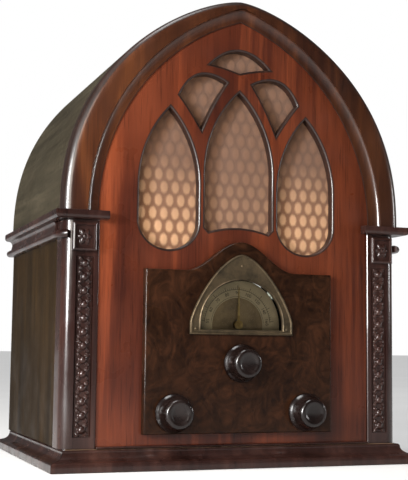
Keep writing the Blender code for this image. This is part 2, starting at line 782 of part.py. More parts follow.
# ---- Dial ---------------------------------------------------------------------------------------------
def build_dial():
    foot_z, spring_z, top_z = ESCUTCHEON_Z
    steps = 14
    right = []
    for step in range(steps):
        share = math.sin(math.pi / 2 * step / steps)
        half = crowned_half_width(share, ESCUTCHEON_HALF_WIDTH, 1.25, 0.625)
        right.append((half, spring_z + (top_z - spring_z) * share))
    left = [(-x, z) for x, z in reversed(right)]
    outline = right + [(0.0, top_z)] + left
    outline += [(-ESCUTCHEON_HALF_WIDTH, foot_z), (ESCUTCHEON_HALF_WIDTH, foot_z)]
    front_y = ESCUTCHEON_BACK_Y - ESCUTCHEON_THICKNESS
    frame = plate(outline, [half_moon(DIAL_WINDOW_RADIUS, DIAL_WINDOW_FOOT)], front_y, ESCUTCHEON_BACK_Y,
                  edge=BRONZE_EDGE_ROUND, hole_edge=BRONZE_EDGE_ROUND)
    add_part("escutcheon", frame, "bronze", sharp_deg=40)

    glass_y = ESCUTCHEON_BACK_Y + GAP
    glass = plate(half_moon(0.0450, 0.1290), [], glass_y, glass_y + GLASS_THICKNESS)
    add_part("dial_window", glass, "glass")
    scale = plate(half_moon(0.0445, 0.1265), [round_hole(0.0, DIAL_Z, PANEL_HOLE_RADIUS)], *DIAL_CARD_Y)
    add_part("dial_plate", scale, "scale_card")

    half = BRACKET_HALF_WIDTH
    holes = [round_hole(0.0, TUNING_Z, SHAFT_HOLE_RADIUS), round_hole(0.0, DIAL_Z, ROTOR_HOLE_RADIUS)]
    bracket = plate(rectangle((-half, half), (DECK_Z, BRACKET_TOP_Z)), holes, *BRACKET_Y)
    part = add_part("dial_bracket", bracket, "steel")
    inside_y = BRACKET_Y[0] + 0.0005
    foot = block((0.0001 - half, inside_y, DECK_Z), (half - 0.0001, BRACKET_Y[1] + 0.0118, DECK_Z + 0.0012))
    card_y = DIAL_CARD_Y[1] + GAP
    bosses = [rod(0.0030, (x, card_y, 0.1320), (x, inside_y, 0.1320), 12) for x in (-0.038, 0.038)]
    combine(part, [foot] + bosses, "UNION")

    strap = plate(rectangle((LAMP_X - 0.008, LAMP_X + 0.008), LAMP_STRAP_Z),
                  [round_hole(LAMP_X, LAMP_Z, 0.0054)], *LAMP_STRAP_Y)
    add_part("lamp_holder", strap, "steel")
    bulb = [(0, -0.1105), (0.0022, -0.1101), (0.0040, -0.1086), (0.0048, -0.1065), (0.0042, -0.1040),
            (0.0045, -0.1032), (0.0050, -0.1025), (0.0050, -0.0965), (0.0030, -0.0955), (0, -0.0955)]
    add_part("dial_lamp", lathe(bulb, (LAMP_X, 0.0, LAMP_Z), "Y", 12), "brass")


def build_pointer():
    hub = POINTER_HUB_RADIUS
    hand = [(-0.0013, DIAL_Z + hub), (-0.0004, DIAL_Z + POINTER_LENGTH), (0.0004, DIAL_Z + POINTER_LENGTH),
            (0.0013, DIAL_Z + hub)]
    steps = 12
    for step in range(1, steps):
        angle = math.radians(74) - math.radians(328) * step / steps
        hand.append((hub * math.cos(angle), DIAL_Z + hub * math.sin(angle)))
    shape = plate(hand, [], *POINTER_Y)
    add_part("dial_pointer", shape, "brass", axis_point=(0, 0, DIAL_Z))


def condenser_sections():
    """Front and back faces of the three sections between the condenser's cross plates."""
    inner_front = CONDENSER_Y[0] + CONDENSER_SHEET
    inner_back = CONDENSER_Y[1] - CONDENSER_SHEET
    length = (inner_back - inner_front - 2 * CONDENSER_DIVIDER) / 3
    return [inner_front + i * (length + CONDENSER_DIVIDER) for i in range(3)], length


def build_condenser():
    starts, length = condenser_sections()
    front_y, back_y = CONDENSER_Y
    half = CONDENSER_HALF_WIDTH
    inside = CONDENSER_SHEET / 2
    base = block((-half, front_y, DECK_Z), (half, back_y, DECK_Z + CONDENSER_SHEET))
    frame = add_part("condenser_frame", base, "aluminium")
    cross_plates = [(front_y, front_y + CONDENSER_SHEET), (back_y - CONDENSER_SHEET, back_y)]
    cross_plates += [(start - CONDENSER_DIVIDER, start) for start in starts[1:]]
    pieces = []
    for plate_front, plate_back in cross_plates:
        holes = [round_hole(0.0, DIAL_Z, ROTOR_HOLE_RADIUS), round_hole(0.0, TUNING_Z, SHAFT_HOLE_RADIUS)]
        outline = rectangle((-half, half), (DECK_Z + inside, CONDENSER_TOP_Z))
        pieces.append(plate(outline, holes, plate_front, plate_back))
    pitch = length / (STATORS_PER_SECTION + 0.5)
    for start in starts:
        for i in range(STATORS_PER_SECTION):
            y = start + pitch * (i + 0.5)
            outer = (half - 0.0006, y + CONDENSER_PLATE, STATOR_Z[1])
            pieces.append(block((STATOR_X, y, STATOR_Z[0]), outer))
    for z in (STATOR_Z[0] + 0.0020, STATOR_Z[1] - 0.0050):
        pieces.append(block((half - 0.0040, front_y + inside, z),
                            (half - 0.0010, back_y - inside, z + 0.0030)))
    combine(frame, pieces, "UNION")
    add_part("condenser_rotor", rotor_shape(starts, pitch), "aluminium", axis_point=(0, 0, DIAL_Z))

    disc = lathe([(ROTOR_SHAFT_RADIUS + GAP, DRIVE_DISC_Y[0]), (DRIVE_DISC_RADIUS, DRIVE_DISC_Y[0]),
                  (DRIVE_DISC_RADIUS, DRIVE_DISC_Y[1]), (ROTOR_SHAFT_RADIUS + GAP, DRIVE_DISC_Y[1])],
                 (0, 0, DIAL_Z), "Y", 32, loop=True)
    add_part("drive_disc", disc, "brass", axis_point=(0, 0, DIAL_Z))


def rotor_shape(starts, pitch):
    """Half-round plates on one shaft, built as a stack of rings along the shaft."""
    upper = [math.pi * i / 9 for i in range(10)]
    lower = [math.pi + math.pi * i / 4 for i in range(1, 4)]

    def ring(y, upper_radius, lower_radius):
        radii = [(angle, upper_radius) for angle in upper] + [(angle, lower_radius) for angle in lower]
        return [(r * math.cos(a), y, DIAL_Z + r * math.sin(a)) for a, r in radii]

    shaft = ROTOR_SHAFT_RADIUS
    rings = [ring(ROTOR_Y[0], shaft, shaft)]
    for start in starts:
        for i in range(STATORS_PER_SECTION - 1):
            front = start + pitch * (i + 1.0)
            back = front + CONDENSER_PLATE
            rings.append(ring(front, shaft, shaft))
            rings.append(ring(front, ROTOR_PLATE_RADIUS, ROTOR_COLLAR_RADIUS))
            rings.append(ring(back, ROTOR_PLATE_RADIUS, ROTOR_COLLAR_RADIUS))
            rings.append(ring(back, shaft, shaft))
    rings.append(ring(ROTOR_Y[1], shaft, shaft))
    return skin(rings)


# ---- Knobs, shafts and controls -------------------------------------------------------------------------
def knob_shape(x, z):
    """A turned knob with a skirt and a blind bore for its shaft."""
    back = KNOB_BACK_Y
    face = KNOB_BACK_Y - KNOB_DEPTH
    bore = SHAFT_RADIUS + 0.0004
    profile = [(0, face + 0.0009), (0.0075, face + 0.0006), (0.0112, face), (0.0132, face + 0.0008),
               (0.0143, face + 0.0026), (0.0148, face + 0.0110), (0.0155, face + 0.0140),
               (0.0174, face + 0.0162), (KNOB_RADIUS, face + 0.0176), (KNOB_RADIUS, back - 0.0006),
               (KNOB_RADIUS - 0.0006, back), (bore, back), (bore, SHAFT_FRONT_Y - GAP),
               (0, SHAFT_FRONT_Y - GAP)]
    return lathe(profile, (x, 0, z), "Y", 18)


def build_tuning():
    roller_front, roller_back = DRIVE_DISC_Y
    shaft = [(0, SHAFT_FRONT_Y), (SHAFT_RADIUS, SHAFT_FRONT_Y), (SHAFT_RADIUS, roller_front - 0.0010),
             (ROLLER_RADIUS, roller_front - 0.0010), (ROLLER_RADIUS, roller_back + 0.0010),
             (SHAFT_RADIUS, roller_back + 0.0010), (SHAFT_RADIUS, SHAFT_BACK_Y), (0, SHAFT_BACK_Y)]
    axis = (0, 0, TUNING_Z)
    add_part("tuning_shaft", lathe(shaft, axis, "Y", 18), "steel", axis_point=axis)
    add_part("tuning_knob", knob_shape(0, TUNING_Z), "bakelite", axis_point=axis)


def build_controls():
    apron_y = CHASSIS_Y[0]
    body_front = apron_y + CHASSIS_WALL + GAP
    bushing_front = apron_y - 0.0035
    bore = SHAFT_RADIUS + 0.0004
    shaft_end = body_front + 0.0065
    bodies = {
        "volume_control": [(0.0148, body_front + 0.0140), (0.0160, body_front + 0.0128),
                           (0.0160, body_front)],
        "tone_switch": [(0.0175, body_front + 0.0150), (0.0175, body_front + 0.0132),
                        (0.0110, body_front + 0.0132), (0.0110, body_front + 0.0022),
                        (0.0150, body_front + 0.0022), (0.0150, body_front)],
    }
    for (name, outside), sign in zip(bodies.items(), (-1, 1)):
        x = sign * CONTROL_X
        profile = [(0, outside[0][1])] + outside
        profile += [(0.0047, body_front), (0.0047, bushing_front), (bore, bushing_front),
                    (bore, shaft_end + GAP), (0, shaft_end + GAP)]
        add_part(name, lathe(profile, (x, 0, CONTROL_Z)), "steel")
        axis = (x, 0, CONTROL_Z)
        shaft = rod(SHAFT_RADIUS, (x, SHAFT_FRONT_Y, CONTROL_Z), (x, shaft_end, CONTROL_Z))
        short_name = name.split("_")[0]
        add_part(f"{short_name}_shaft", shaft, "brass", axis_point=axis)
        add_part(f"{short_name}_knob", knob_shape(x, CONTROL_Z), "bakelite", axis_point=axis)


# ---- Loudspeaker ----------------------------------------------------------------------------------------
def build_speaker():
    cloth_y = PANEL_BACK_Y + GAP
    cloth = plate(symmetric(CLOTH_CORNERS), [], cloth_y, cloth_y + CLOTH_THICKNESS)
    add_part("grille_cloth", cloth, "cloth")
    hole = round_hole(0.0, SPEAKER_Z, BAFFLE_HOLE_RADIUS, 32)
    add_part("speaker_baffle", plate(symmetric(BAFFLE_CORNERS), [hole], *BAFFLE_Y), "board")

    centre = (0, 0, SPEAKER_Z)
    front = BAFFLE_Y[1] + GAP
    basket = [(FLANGE_RADIUS, front), (FLANGE_RADIUS, front + 0.0015), (0.0855, front + 0.0015),
              (0.0375, front + 0.0490), (0.0200, front + 0.0490), (0.0200, front + 0.0475),
              (0.0368, front + 0.0475), (0.0845, front)]
    part = add_part("speaker_basket", lathe(basket, centre, "Y", 24, loop=True), "black_paint")
    half = BASKET_WINDOW_HALF
    reach = FLANGE_RADIUS + 0.004
    y_low = front + 0.0080
    y_high = front + 0.0410
    windows = [block((-reach, y_low, SPEAKER_Z - half), (reach, y_high, SPEAKER_Z + half)),
               block((-half, y_low, SPEAKER_Z - reach), (half, y_high, SPEAKER_Z + reach))]
    combine(part, windows, "DIFFERENCE")

    cone = [(0, front + 0.0352), (0.0100, front + 0.0368), (0.0783, front + 0.0022),
            (0.0792, front + 0.0030), (0.0140, front + 0.0412), (0.0133, front + 0.0530),
            (0.0125, front + 0.0530), (0.0125, front + 0.0395), (0.0090, front + 0.0375), (0, front + 0.0360)]
    add_part("speaker_cone", lathe(cone, centre, "Y", 24), "paper", axis_point=centre)

    pot_front = front + 0.0493
    slot_floor = pot_front + 0.0100
    pot = [(0, pot_front), (0.0112, pot_front), (0.0112, slot_floor), (0.0148, slot_floor),
           (0.0148, pot_front), (0.0320, pot_front), (0.0340, pot_front + 0.0020), (0.0340, pot_front + 0.0500),
           (0.0310, pot_front + 0.0540), (0, pot_front + 0.0540)]
    add_part("speaker_field_coil", lathe(pot, centre, "Y", 20), "black_paint")

    back = BAFFLE_Y[1] + GAP
    (x_low, z_low), (x_high, z_high) = OUTPUT_CORE
    core = block((x_low, back, z_low), (x_high, back + 0.0160, z_high))
    core = add_part("output_transformer", core, "steel")
    (x_low, z_low), (x_high, z_high) = OUTPUT_WINDING
    combine(core, [block((x_low, back + 0.0020, z_low), (x_high, back + 0.0300, z_high))], "UNION")


# ---- Chassis and what stands on it ------------------------------------------------------------------------
def open_box(low, high, wall):
    """A folded sheet box that is open underneath."""
    shape = bmesh.new()
    inner_low = (low[0] + wall, low[1] + wall)
    inner_high = (high[0] - wall, high[1] - wall)
    loops = [(low[0], low[1], high[0], high[1], high[2]), (low[0], low[1], high[0], high[1], low[2]),
             (*inner_low, *inner_high, low[2]), (*inner_low, *inner_high, high[2] - wall)]
    rings = []
    for x0, y0, x1, y1, z in loops:
        corners = [(x0, y0, z), (x1, y0, z), (x1, y1, z), (x0, y1, z)]
        rings.append([shape.verts.new(corner) for corner in corners])
    for ring_a, ring_b in zip(rings, rings[1:]):
        bridge(shape, ring_a, ring_b)
    fill(shape, [rings[0]])
    fill(shape, [rings[-1]])
    return shape


def build_chassis():
    low = (-CHASSIS_HALF_WIDTH, CHASSIS_Y[0], CHASSIS_Z[0])
    high = (CHASSIS_HALF_WIDTH, CHASSIS_Y[1], CHASSIS_Z[1])
    part = add_part("chassis", open_box(low, high, CHASSIS_WALL), "steel")
    flanges = []
    for sign in (-1, 1):
        x_low, x_high = sorted((sign * 0.1165, sign * (CHASSIS_HALF_WIDTH - 0.0005)))
        flanges.append(block((x_low, CHASSIS_Y[0] + 0.0005, CHASSIS_Z[0]),
                             (x_high, CHASSIS_Y[1] - 0.0005, CHASSIS_Z[0] + 0.0014)))
    combine(part, flanges, "UNION")
    holes = [rod(0.0052, (sign * CONTROL_X, CHASSIS_Y[0] - 0.002, CONTROL_Z),
                 (sign * CONTROL_X, CHASSIS_Y[0] + 0.004, CONTROL_Z)) for sign in (-1, 1)]
    for x, y in BOLT_PLACES:
        holes.append(rod(0.0024, (x, y, CHASSIS_Z[0] - 0.001), (x, y, CHASSIS_Z[0] + 0.003), 10, "Z"))
    holes.append(rod(CORD_HOLE_RADIUS, (CORD_HOLE[0], CHASSIS_Y[1] - 0.004, CORD_HOLE[1]),
                     (CORD_HOLE[0], CHASSIS_Y[1] + 0.002, CORD_HOLE[1])))
    combine(part, holes, "DIFFERENCE")

    for number, (x, y) in enumerate(BOLT_PLACES, 1):
        bolt = [(0, 0.0017), (0.0046, 0.0017), (0.0054, 0.0026), (0.0054, 0.0052), (0.0020, 0.0052),
                (0.0020, 0.0260), (0, 0.0260)]
        add_part(f"chassis_bolt_{number}", lathe(bolt, (x, y, 0), "Z", 10), "steel")

    strip_y = CHASSIS_Y[1] + GAP
    strip = block((TERMINAL_X[0], strip_y, TERMINAL_Z[0]), (TERMINAL_X[1], strip_y + 0.0030, TERMINAL_Z[1]))
    part = add_part("terminal_strip", strip, "bakelite")
    middle_z = sum(TERMINAL_Z) / 2
    posts = [rod(0.0032, (x, strip_y + 0.0020, middle_z), (x, strip_y + 0.0090, middle_z), 12)
             for x in TERMINAL_POSTS_X]
    combine(part, posts, "UNION")

    wall_y = (CHASSIS_Y[1] - CHASSIS_WALL - GAP, CHASSIS_Y[1] + GAP)
    grommet = [(0.0042, wall_y[0] - 0.0022), (0.0082, wall_y[0] - 0.0022), (0.0092, wall_y[0] - 0.0010),
               (0.0092, wall_y[0]), (0.0070, wall_y[0]), (0.0070, wall_y[1]), (0.0092, wall_y[1]),
               (0.0092, wall_y[1] + 0.0010), (0.0082, wall_y[1] + 0.0022), (0.0042, wall_y[1] + 0.0022)]
    add_part("cord_grommet", lathe(grommet, (CORD_HOLE[0], 0, CORD_HOLE[1]), "Y", 12, loop=True), "rubber")


def tube_profile(base_radius, bulb_radius, height):
    """An old balloon-shaped tube: a straight base, a shouldered bulb and a round crown."""
    base_top = TUBE_BASE_HEIGHT
    neck = base_radius - 0.0010
    profile = [(0, 0), (base_radius - 0.0008, 0), (base_radius, 0.0010), (base_radius, base_top)]
    steps = 8
    for step in range(steps):
        share = step / steps
        swell = math.sin(math.pi * min(share * 0.72, 0.5)) ** 0.9
        if share > 0.694:
            swell = math.sqrt(max(1 - ((share - 0.694) / 0.306) ** 2, 0.0))
        radius = neck + (bulb_radius - neck) * swell if share <= 0.694 else bulb_radius * swell
        profile.append((radius, base_top + 0.0005 + (height - base_top - 0.0005) * share))
    return profile + [(0, height)]


def build_tubes():
    for name, (x, y, base_radius, bulb_radius, height) in TUBES.items():
        profile = tube_profile(base_radius, bulb_radius, height)
        add_part(name, lathe(profile, (x, y, DECK_Z), "Z"), "glass")

    for number, y in enumerate(STAGE_ROWS_Y, 1):
        shield = [(0.0190, 0.0), (0.0198, 0.0), (0.0198, 0.0120), (0.0186, 0.0135), (0.0186, 0.0700),
                  (0.0160, 0.0830), (0.0070, 0.0900), (0.0070, 0.0890), (0.0152, 0.0820), (0.0178, 0.0695),
                  (0.0178, 0.0130), (0.0190, 0.0115)]
        add_part(f"tube_shield_{number}", lathe(shield, (SHIELD_X, y, DECK_Z), "Z", loop=True), "aluminium")
        can = [(0, 0), (0.0205, 0), (0.0205, 0.0600), (0.0196, 0.0622), (0.0175, 0.0632), (0, 0.0632)]
        add_part(f"coil_can_{number}", lathe(can, (COIL_CAN_X, y, DECK_Z), "Z"), "aluminium")

    can = [(0, 0), (0.0185, 0), (0.0185, 0.0040), (0.0175, 0.0050), (0.0175, 0.0840), (0.0165, 0.0855),
           (0, 0.0855)]
    add_part("filter_condenser", lathe(can, (*FILTER_PLACE, DECK_Z), "Z"), "aluminium")

    on_deck = Vector((0, 0, DECK_Z))
    core = block(*[Vector(corner) + on_deck for corner in POWER_CORE])
    bells = block(*[Vector(corner) + on_deck for corner in POWER_BELLS])
    bmesh.ops.bevel(bells, geom=bells.edges[:], offset=POWER_BELL_ROUND, segments=2, profile=0.5,
                    affect="EDGES")
    combine(add_part("power_transformer", core, "steel"), [bells], "UNION")


clear_scene()
build_base()
build_walls()
build_columns()
build_imposts()
build_arch_moulding()
build_front()
build_dial()
build_pointer()
build_condenser()
build_tuning()
build_controls()
build_speaker()
build_chassis()
build_tubes()
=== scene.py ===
"""Looks of the cathedral radio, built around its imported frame.

Metres, +Z up, the front faces -Y. Outlines lie in the XZ plane and depths run along Y. Longer profiles are
listed in millimetres and go through mm().
"""
import json
import math

import bmesh
import bpy
from mathutils import Matrix, Vector, geometry


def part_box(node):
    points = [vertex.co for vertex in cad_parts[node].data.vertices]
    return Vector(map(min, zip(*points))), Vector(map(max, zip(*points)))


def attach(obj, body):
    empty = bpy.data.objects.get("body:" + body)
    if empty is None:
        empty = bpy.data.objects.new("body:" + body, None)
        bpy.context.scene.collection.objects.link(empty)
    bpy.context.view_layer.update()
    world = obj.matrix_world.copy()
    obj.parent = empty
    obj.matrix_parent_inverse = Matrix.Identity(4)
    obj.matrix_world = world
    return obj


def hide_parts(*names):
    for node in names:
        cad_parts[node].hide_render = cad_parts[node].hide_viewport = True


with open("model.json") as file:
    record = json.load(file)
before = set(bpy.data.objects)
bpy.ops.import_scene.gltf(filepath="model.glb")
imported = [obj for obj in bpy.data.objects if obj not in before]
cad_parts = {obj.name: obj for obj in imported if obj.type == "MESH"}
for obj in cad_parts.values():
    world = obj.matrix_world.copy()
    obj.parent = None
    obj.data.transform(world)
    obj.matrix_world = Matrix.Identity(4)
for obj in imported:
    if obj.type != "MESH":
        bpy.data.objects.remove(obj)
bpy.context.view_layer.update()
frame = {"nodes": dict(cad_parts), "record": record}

# ---- Sizes that repeat the frame's design ----------------------------------
PANEL_LOW, PANEL_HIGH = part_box("front_panel")
BAND_LOW, BAND_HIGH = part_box("front_arch_moulding")
ROOF_LOW, ROOF_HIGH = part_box("roof_shell")
COLUMN_LOW, COLUMN_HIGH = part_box("column_right")
OVERLAY_LOW, OVERLAY_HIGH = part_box("instrument_panel")
FLUTE_LOW, FLUTE_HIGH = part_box("column_carving_right")
CAPITAL_LOW, CAPITAL_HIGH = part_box("capital_block_right")
DECK_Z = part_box("rectifier_tube")[0].z

GAP = 0.0003
EASE = 0.0006
SIDES = (("right", 1.0), ("left", -1.0))
SPRING_Z = 0.24
HEIGHT = ROOF_HIGH.z
ARCH_HALF_SPAN = ROOF_HIGH.x
ARCH_POWERS = (2.32, 0.663)
ROOF_THICKNESS = 0.0065
PANEL_HALF_WIDTH = 0.1413
FOOT_BEAD_HEIGHT = 0.0024
INNER_ARCH_HALF_SPAN = 0.143
INNER_ARCH_RISE = 0.1987
BAND_RABBET = 0.008
BAND_COVE = 0.011
BAND_EDGE_ROUND = 0.011
COLUMN_CORNER_RADIUS = 0.012
FLUTE_DEPTH = 0.0024
CARVING_BEADS = 13
IMPOST_BEAD_Z = 0.2175
SIDE_LANCET = {"x": 0.0725, "half": 0.0302, "spring": 0.27, "rise": 0.076, "foot": 0.235, "drop": 0.0275}
MIDDLE_LANCET = {"half": 0.0355, "spring": 0.285, "rise": 0.082, "foot": 0.2265, "crown": 0.005}
HOOD_HALF_WIDTH = 0.0575
HOOD_RISE = 0.029
OVERLAY_SHOULDER_Z = 0.1875
ESCUTCHEON_HALF_WIDTH = 0.0535
ESCUTCHEON_Z = (0.126, 0.138, 0.204)
ESCUTCHEON_POWERS = (1.25, 0.625)
DIAL_Z = 0.136
DIAL_AXIS = (0.0, DIAL_Z)
DIAL_WINDOW_RADIUS = 0.0425
DIAL_WINDOW_FOOT = 0.131
SHAFT_RADIUS = 0.003
SHAFT_HOLE_RADIUS = 0.0035
ROTOR_SHAFT_RADIUS = 0.004
ROTOR_HOLE_RADIUS = 0.0046
PANEL_HOLE_RADIUS = 0.005
TUNING_Z = 0.0988
CONTROL_X = 0.0685
CONTROL_Z = 0.0515
CONTROLS = {"tuning": (0.0, TUNING_Z), "volume": (-CONTROL_X, CONTROL_Z), "tone": (CONTROL_X, CONTROL_Z)}
CONTROL_NUT_Y = (-0.1023, -0.1003)
CONTROL_FACE_Y = -0.0985
BRACKET_FACE_Y = -0.1035
CHASSIS_REAR_Y = 0.0951
TERMINAL_Z = 0.048
SPEAKER_AXIS_Z = 0.3
TUBE_BASE_HEIGHT = 0.026
TUBE_RADII = {
    "rectifier_tube": (0.017, 0.023),
    "output_tube": (0.017, 0.0235),
    "audio_tube": (0.0155, 0.0195),
}
ANODE_HALF_X = 0.0105
ANODE_HALF_Y = 0.0058
LAMP_SOCKET_Y = -0.1036
LAMP_FILAMENT_Y = -0.1074
ROLLER_Y = (-0.0995, -0.096)

# ---- Grille cloth ----------------------------------------------------------
CLOTH_CORNERS = [(0.112, 0.2015), (0.112, 0.335), (0.052, 0.4165)]
CLOTH_PITCH = (0.0115, 0.0128)
OVAL_SIZE = (0.0094, 0.0142)
OVAL_ROW_SHIFTS = (0.0, 0.5)
CLOTH_RELIEF = 0.00035
CLOTH_STEP = 0.001

ALL_TRIANGLES = 0
CLOSEST_POINTS = 1e-7


# ---- Outline helpers -------------------------------------------------------
def mm(*points):
    """Pairs listed in millimetres, in metres. A third value is a share and stays as it is."""
    return [(first / 1000, second / 1000, *share) for first, second, *share in points]


def arc(centre, radius, start_deg, end_deg, steps):
    """Points of an arc, both ends included. A radius given as a pair makes it oval."""
    across, up = radius if isinstance(radius, tuple) else (radius, radius)
    angles = [math.radians(start_deg + (end_deg - start_deg) * step / steps) for step in range(steps + 1)]
    return [(centre[0] + across * math.cos(angle), centre[1] + up * math.sin(angle)) for angle in angles]


def circle(x, z, radius, segments=36, start_deg=0.0):
    return arc((x, z), radius, start_deg, start_deg + 360, segments)[:-1]


def bowed(start, end, bow, steps):
    """Points from start to just before end on an arc that bows left of the way by bow."""
    a = Vector(start)
    b = Vector(end)
    left = Vector((-(b - a).y, (b - a).x)).normalized()
    shares = [step / steps for step in range(steps)]
    return [tuple(a.lerp(b, t) + left * bow * 4 * t * (1 - t)) for t in shares]


def both_halves(right):
    """A right half that ends at the crown, and then its mirror image."""
    return right + [(-x, z) for x, z in reversed(right[:-1])]


def rounded_corners(low, high, radius):
    """The XZ outline of a box, with rounded corners."""
    corners = [(high.x - radius, high.z - radius), (low.x + radius, high.z - radius),
               (low.x + radius, low.z + radius), (high.x - radius, low.z + radius)]
    points = []
    for i, corner in enumerate(corners):
        points += arc(corner, radius, 90 * i, 90 * i + 90, 6)
    return points


def quarter_round(radius, steps=6):
    """(inset, depth) steps of a rounded edge, with a flat strip that keeps the face shading level."""
    return [(radius + 0.0002, 0.0)] + arc((radius, radius), radius, 270, 180, steps)


def offset_ring(points, distance):
    """Move a counter-clockwise ring of (x, z) points inwards by a distance, mitred at corners."""
    shifted = []
    for i, point in enumerate(points):
        before = Vector(point) - Vector(points[i - 1])
        after = Vector(points[(i + 1) % len(points)]) - Vector(point)
        normal_a = Vector((-before.y, before.x)).normalized()
        normal_b = Vector((-after.y, after.x)).normalized()
        mitre = (normal_a + normal_b) / max(1.0 + normal_a.dot(normal_b), 0.35)
        shifted.append(tuple(Vector(point) + mitre * distance))
    return shifted


def counter_clockwise(points):
    area = sum(a[0] * b[1] - b[0] * a[1] for a, b in pairs(points))
    return list(points) if area > 0 else list(reversed(points))


def middle_of(node):
    low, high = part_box(node)
    return (low + high) / 2


def on_deck(node):
    """The point of the chassis deck under the middle of a node."""
    return (*middle_of(node)[:2], DECK_Z)


# ---- Shape helpers ---------------------------------------------------------
def pairs(ring):
    return list(zip(ring, ring[1:] + ring[:1]))


def bridge(shape, ring_a, ring_b, finish=0):
    for (a, b), (c, d) in zip(pairs(ring_a), pairs(ring_b)):
        shape.faces.new((a, b, d, c)).material_index = finish


def is_inside(point, edges):
    """Even-odd test of a flat point against the edges of one or more loops."""
    crossings = 0
    for a, b in edges:
        if (a.y > point.y) != (b.y > point.y):
            crossings += point.x < a.x + (b.x - a.x) * (point.y - a.y) / (b.y - a.y)
    return crossings % 2 == 1


def fill(shape, rings):
    """Close flat loops with triangles. Inner loops stay open as holes."""
    verts = [vert for ring in rings for vert in ring]
    facing = geometry.normal([vert.co for vert in rings[0]])
    across, up = sorted(range(3), key=lambda axis: abs(facing[axis]))[:2]
    flat = [Vector((vert.co[across], vert.co[up])) for vert in verts]
    links = []
    for ring in rings:
        first = len(links)
        links += [(first + i, first + (i + 1) % len(ring)) for i in range(len(ring))]
    made = geometry.delaunay_2d_cdt(flat, links, [], ALL_TRIANGLES, CLOSEST_POINTS)
    edges = [(flat[a], flat[b]) for a, b in links]
    sources = [names[0] for names in made[3]]
    for triangle in made[2]:
        corners = [sources[i] for i in triangle]
        middle = sum((flat[i] for i in corners), Vector((0.0, 0.0))) / 3
        if is_inside(middle, edges):
            shape.faces.new([verts[i] for i in corners])


def block(low, high, edge=0.0):
    """A box between two corners, with its edges rounded."""
    shape = bmesh.new()
    bmesh.ops.create_cube(shape, size=1.0)
    size = [high[i] - low[i] for i in range(3)]
    bmesh.ops.scale(shape, verts=shape.verts, vec=size)
    bmesh.ops.translate(shape, verts=shape.verts, vec=[(high[i] + low[i]) / 2 for i in range(3)])
    if edge:
        bmesh.ops.bevel(shape, geom=shape.edges[:], offset=edge, segments=3, profile=0.5, affect="EDGES")
    return shape


def block_about(middle, size, edge):
    low, high = [[m + sign * s / 2 for m, s in zip(middle, size)] for sign in (-1, 1)]
    return block(low, high, edge)


def join(shapes):
    """Put the shells of several shapes into one."""
    joined = shapes[0]
    for shape in shapes[1:]:
        loose = bpy.data.meshes.new("loose")
        shape.to_mesh(loose)
        shape.free()
        joined.from_mesh(loose)
        bpy.data.meshes.remove(loose)
    return joined


def painted(shape, finish):
    """Give every face of a shape one of its piece's finishes, by number."""
    for face in shape.faces:
        face.material_index = finish
    return shape


def assembled(**parts):
    """One shape from lists of shapes by finish, and the names of its finishes."""
    shapes = [painted(shape, number) for number, made in enumerate(parts.values()) for shape in made]
    return join(shapes), " ".join(parts)


def mirrored(shape, sign):
    bmesh.ops.scale(shape, verts=shape.verts, vec=(sign, 1.0, 1.0))
    return shape


def skin(rings):
    """Skin a row of equal rings and fill its two ends."""
    shape = bmesh.new()
    made = [[shape.verts.new(point) for point in ring] for ring in rings]
    for ring_a, ring_b in zip(made, made[1:]):
        bridge(shape, ring_a, ring_b)
    fill(shape, [made[0]])
    fill(shape, [made[-1]])
    return shape


def wall_rings(points, profile, y_front, y_back):
    rings = [[(x, y_front + depth, z) for x, z in offset_ring(points, inset)] for inset, depth in profile]
    return rings + [[(x, y_back, z) for x, z in points]]


def plate(outline, holes, y_front, y_back, edge=((0.0, 0.0),), hole_edge=((0.0, 0.0),), hole_finish=0):
    """A flat plate in the XZ plane, whose front edges follow (inset, depth) profiles."""
    shape = bmesh.new()
    walls = [(wall_rings(counter_clockwise(outline), edge, y_front, y_back), 0)]
    for hole in holes:
        ring = counter_clockwise(hole)[::-1]
        walls.append((wall_rings(ring, hole_edge, y_front, y_back), hole_finish))
    fronts = []
    backs = []
    for points, finish in walls:
        rings = [[shape.verts.new(point) for point in ring] for ring in points]
        for ring_a, ring_b in zip(rings, rings[1:]):
            bridge(shape, ring_a, ring_b, finish)
        fronts.append(rings[0])
        backs.append(rings[-1])
    fill(shape, fronts)
    fill(shape, backs)
    return shape


def lathe(profile, centre, axis="Y", segments=64, loop=False, flutes=0, flute_depth=0.0):
    """Turn (radius, height) points about an axis through centre.

    A point may end in a third value, the share of the flute depth that is cut into it.
    """
    shape = bmesh.new()
    rows = []
    for radius, height, *share in profile:
        cut_depth = flute_depth * share[0] if share else 0.0
        row = []
        for i in range(segments if radius else 1):
            angle = 2 * math.pi * i / segments
            turned = radius - cut_depth * (0.5 - 0.5 * math.cos(flutes * angle))
            across = turned * math.cos(angle)
            up = turned * math.sin(angle)
            local = (across, height, up) if axis == "Y" else (across, up, height)
            row.append(shape.verts.new(Vector(centre) + Vector(local)))
        rows.append(row)
    if loop:
        rows.append(rows[0])
    for row_a, row_b in zip(rows, rows[1:]):
        if len(row_a) > 1 and len(row_b) > 1:
            bridge(shape, row_a, row_b)
            continue
        tip, rim = (row_a[0], row_b) if len(row_a) == 1 else (row_b[0], row_a)
        for a, b in pairs(rim):
            shape.faces.new((tip, a, b))
    return shape


def rod(radius, start, length, edge, axis="Y", segments=40):
    """A round bar with eased ends, along Y or Z from start."""
    profile = [(0, 0), (radius - edge, 0), (radius, edge), (radius, length - edge), (radius - edge, length),
               (0, length)]
    return lathe(profile, start, axis, segments)


def washer(bore, radius, low, high, centre, segments):
    """A plain ring about a front-to-back axis, between two heights."""
    profile = [(bore, low), (radius, low), (radius, high), (bore, high)]
    return lathe(profile, centre, segments=segments, loop=True)


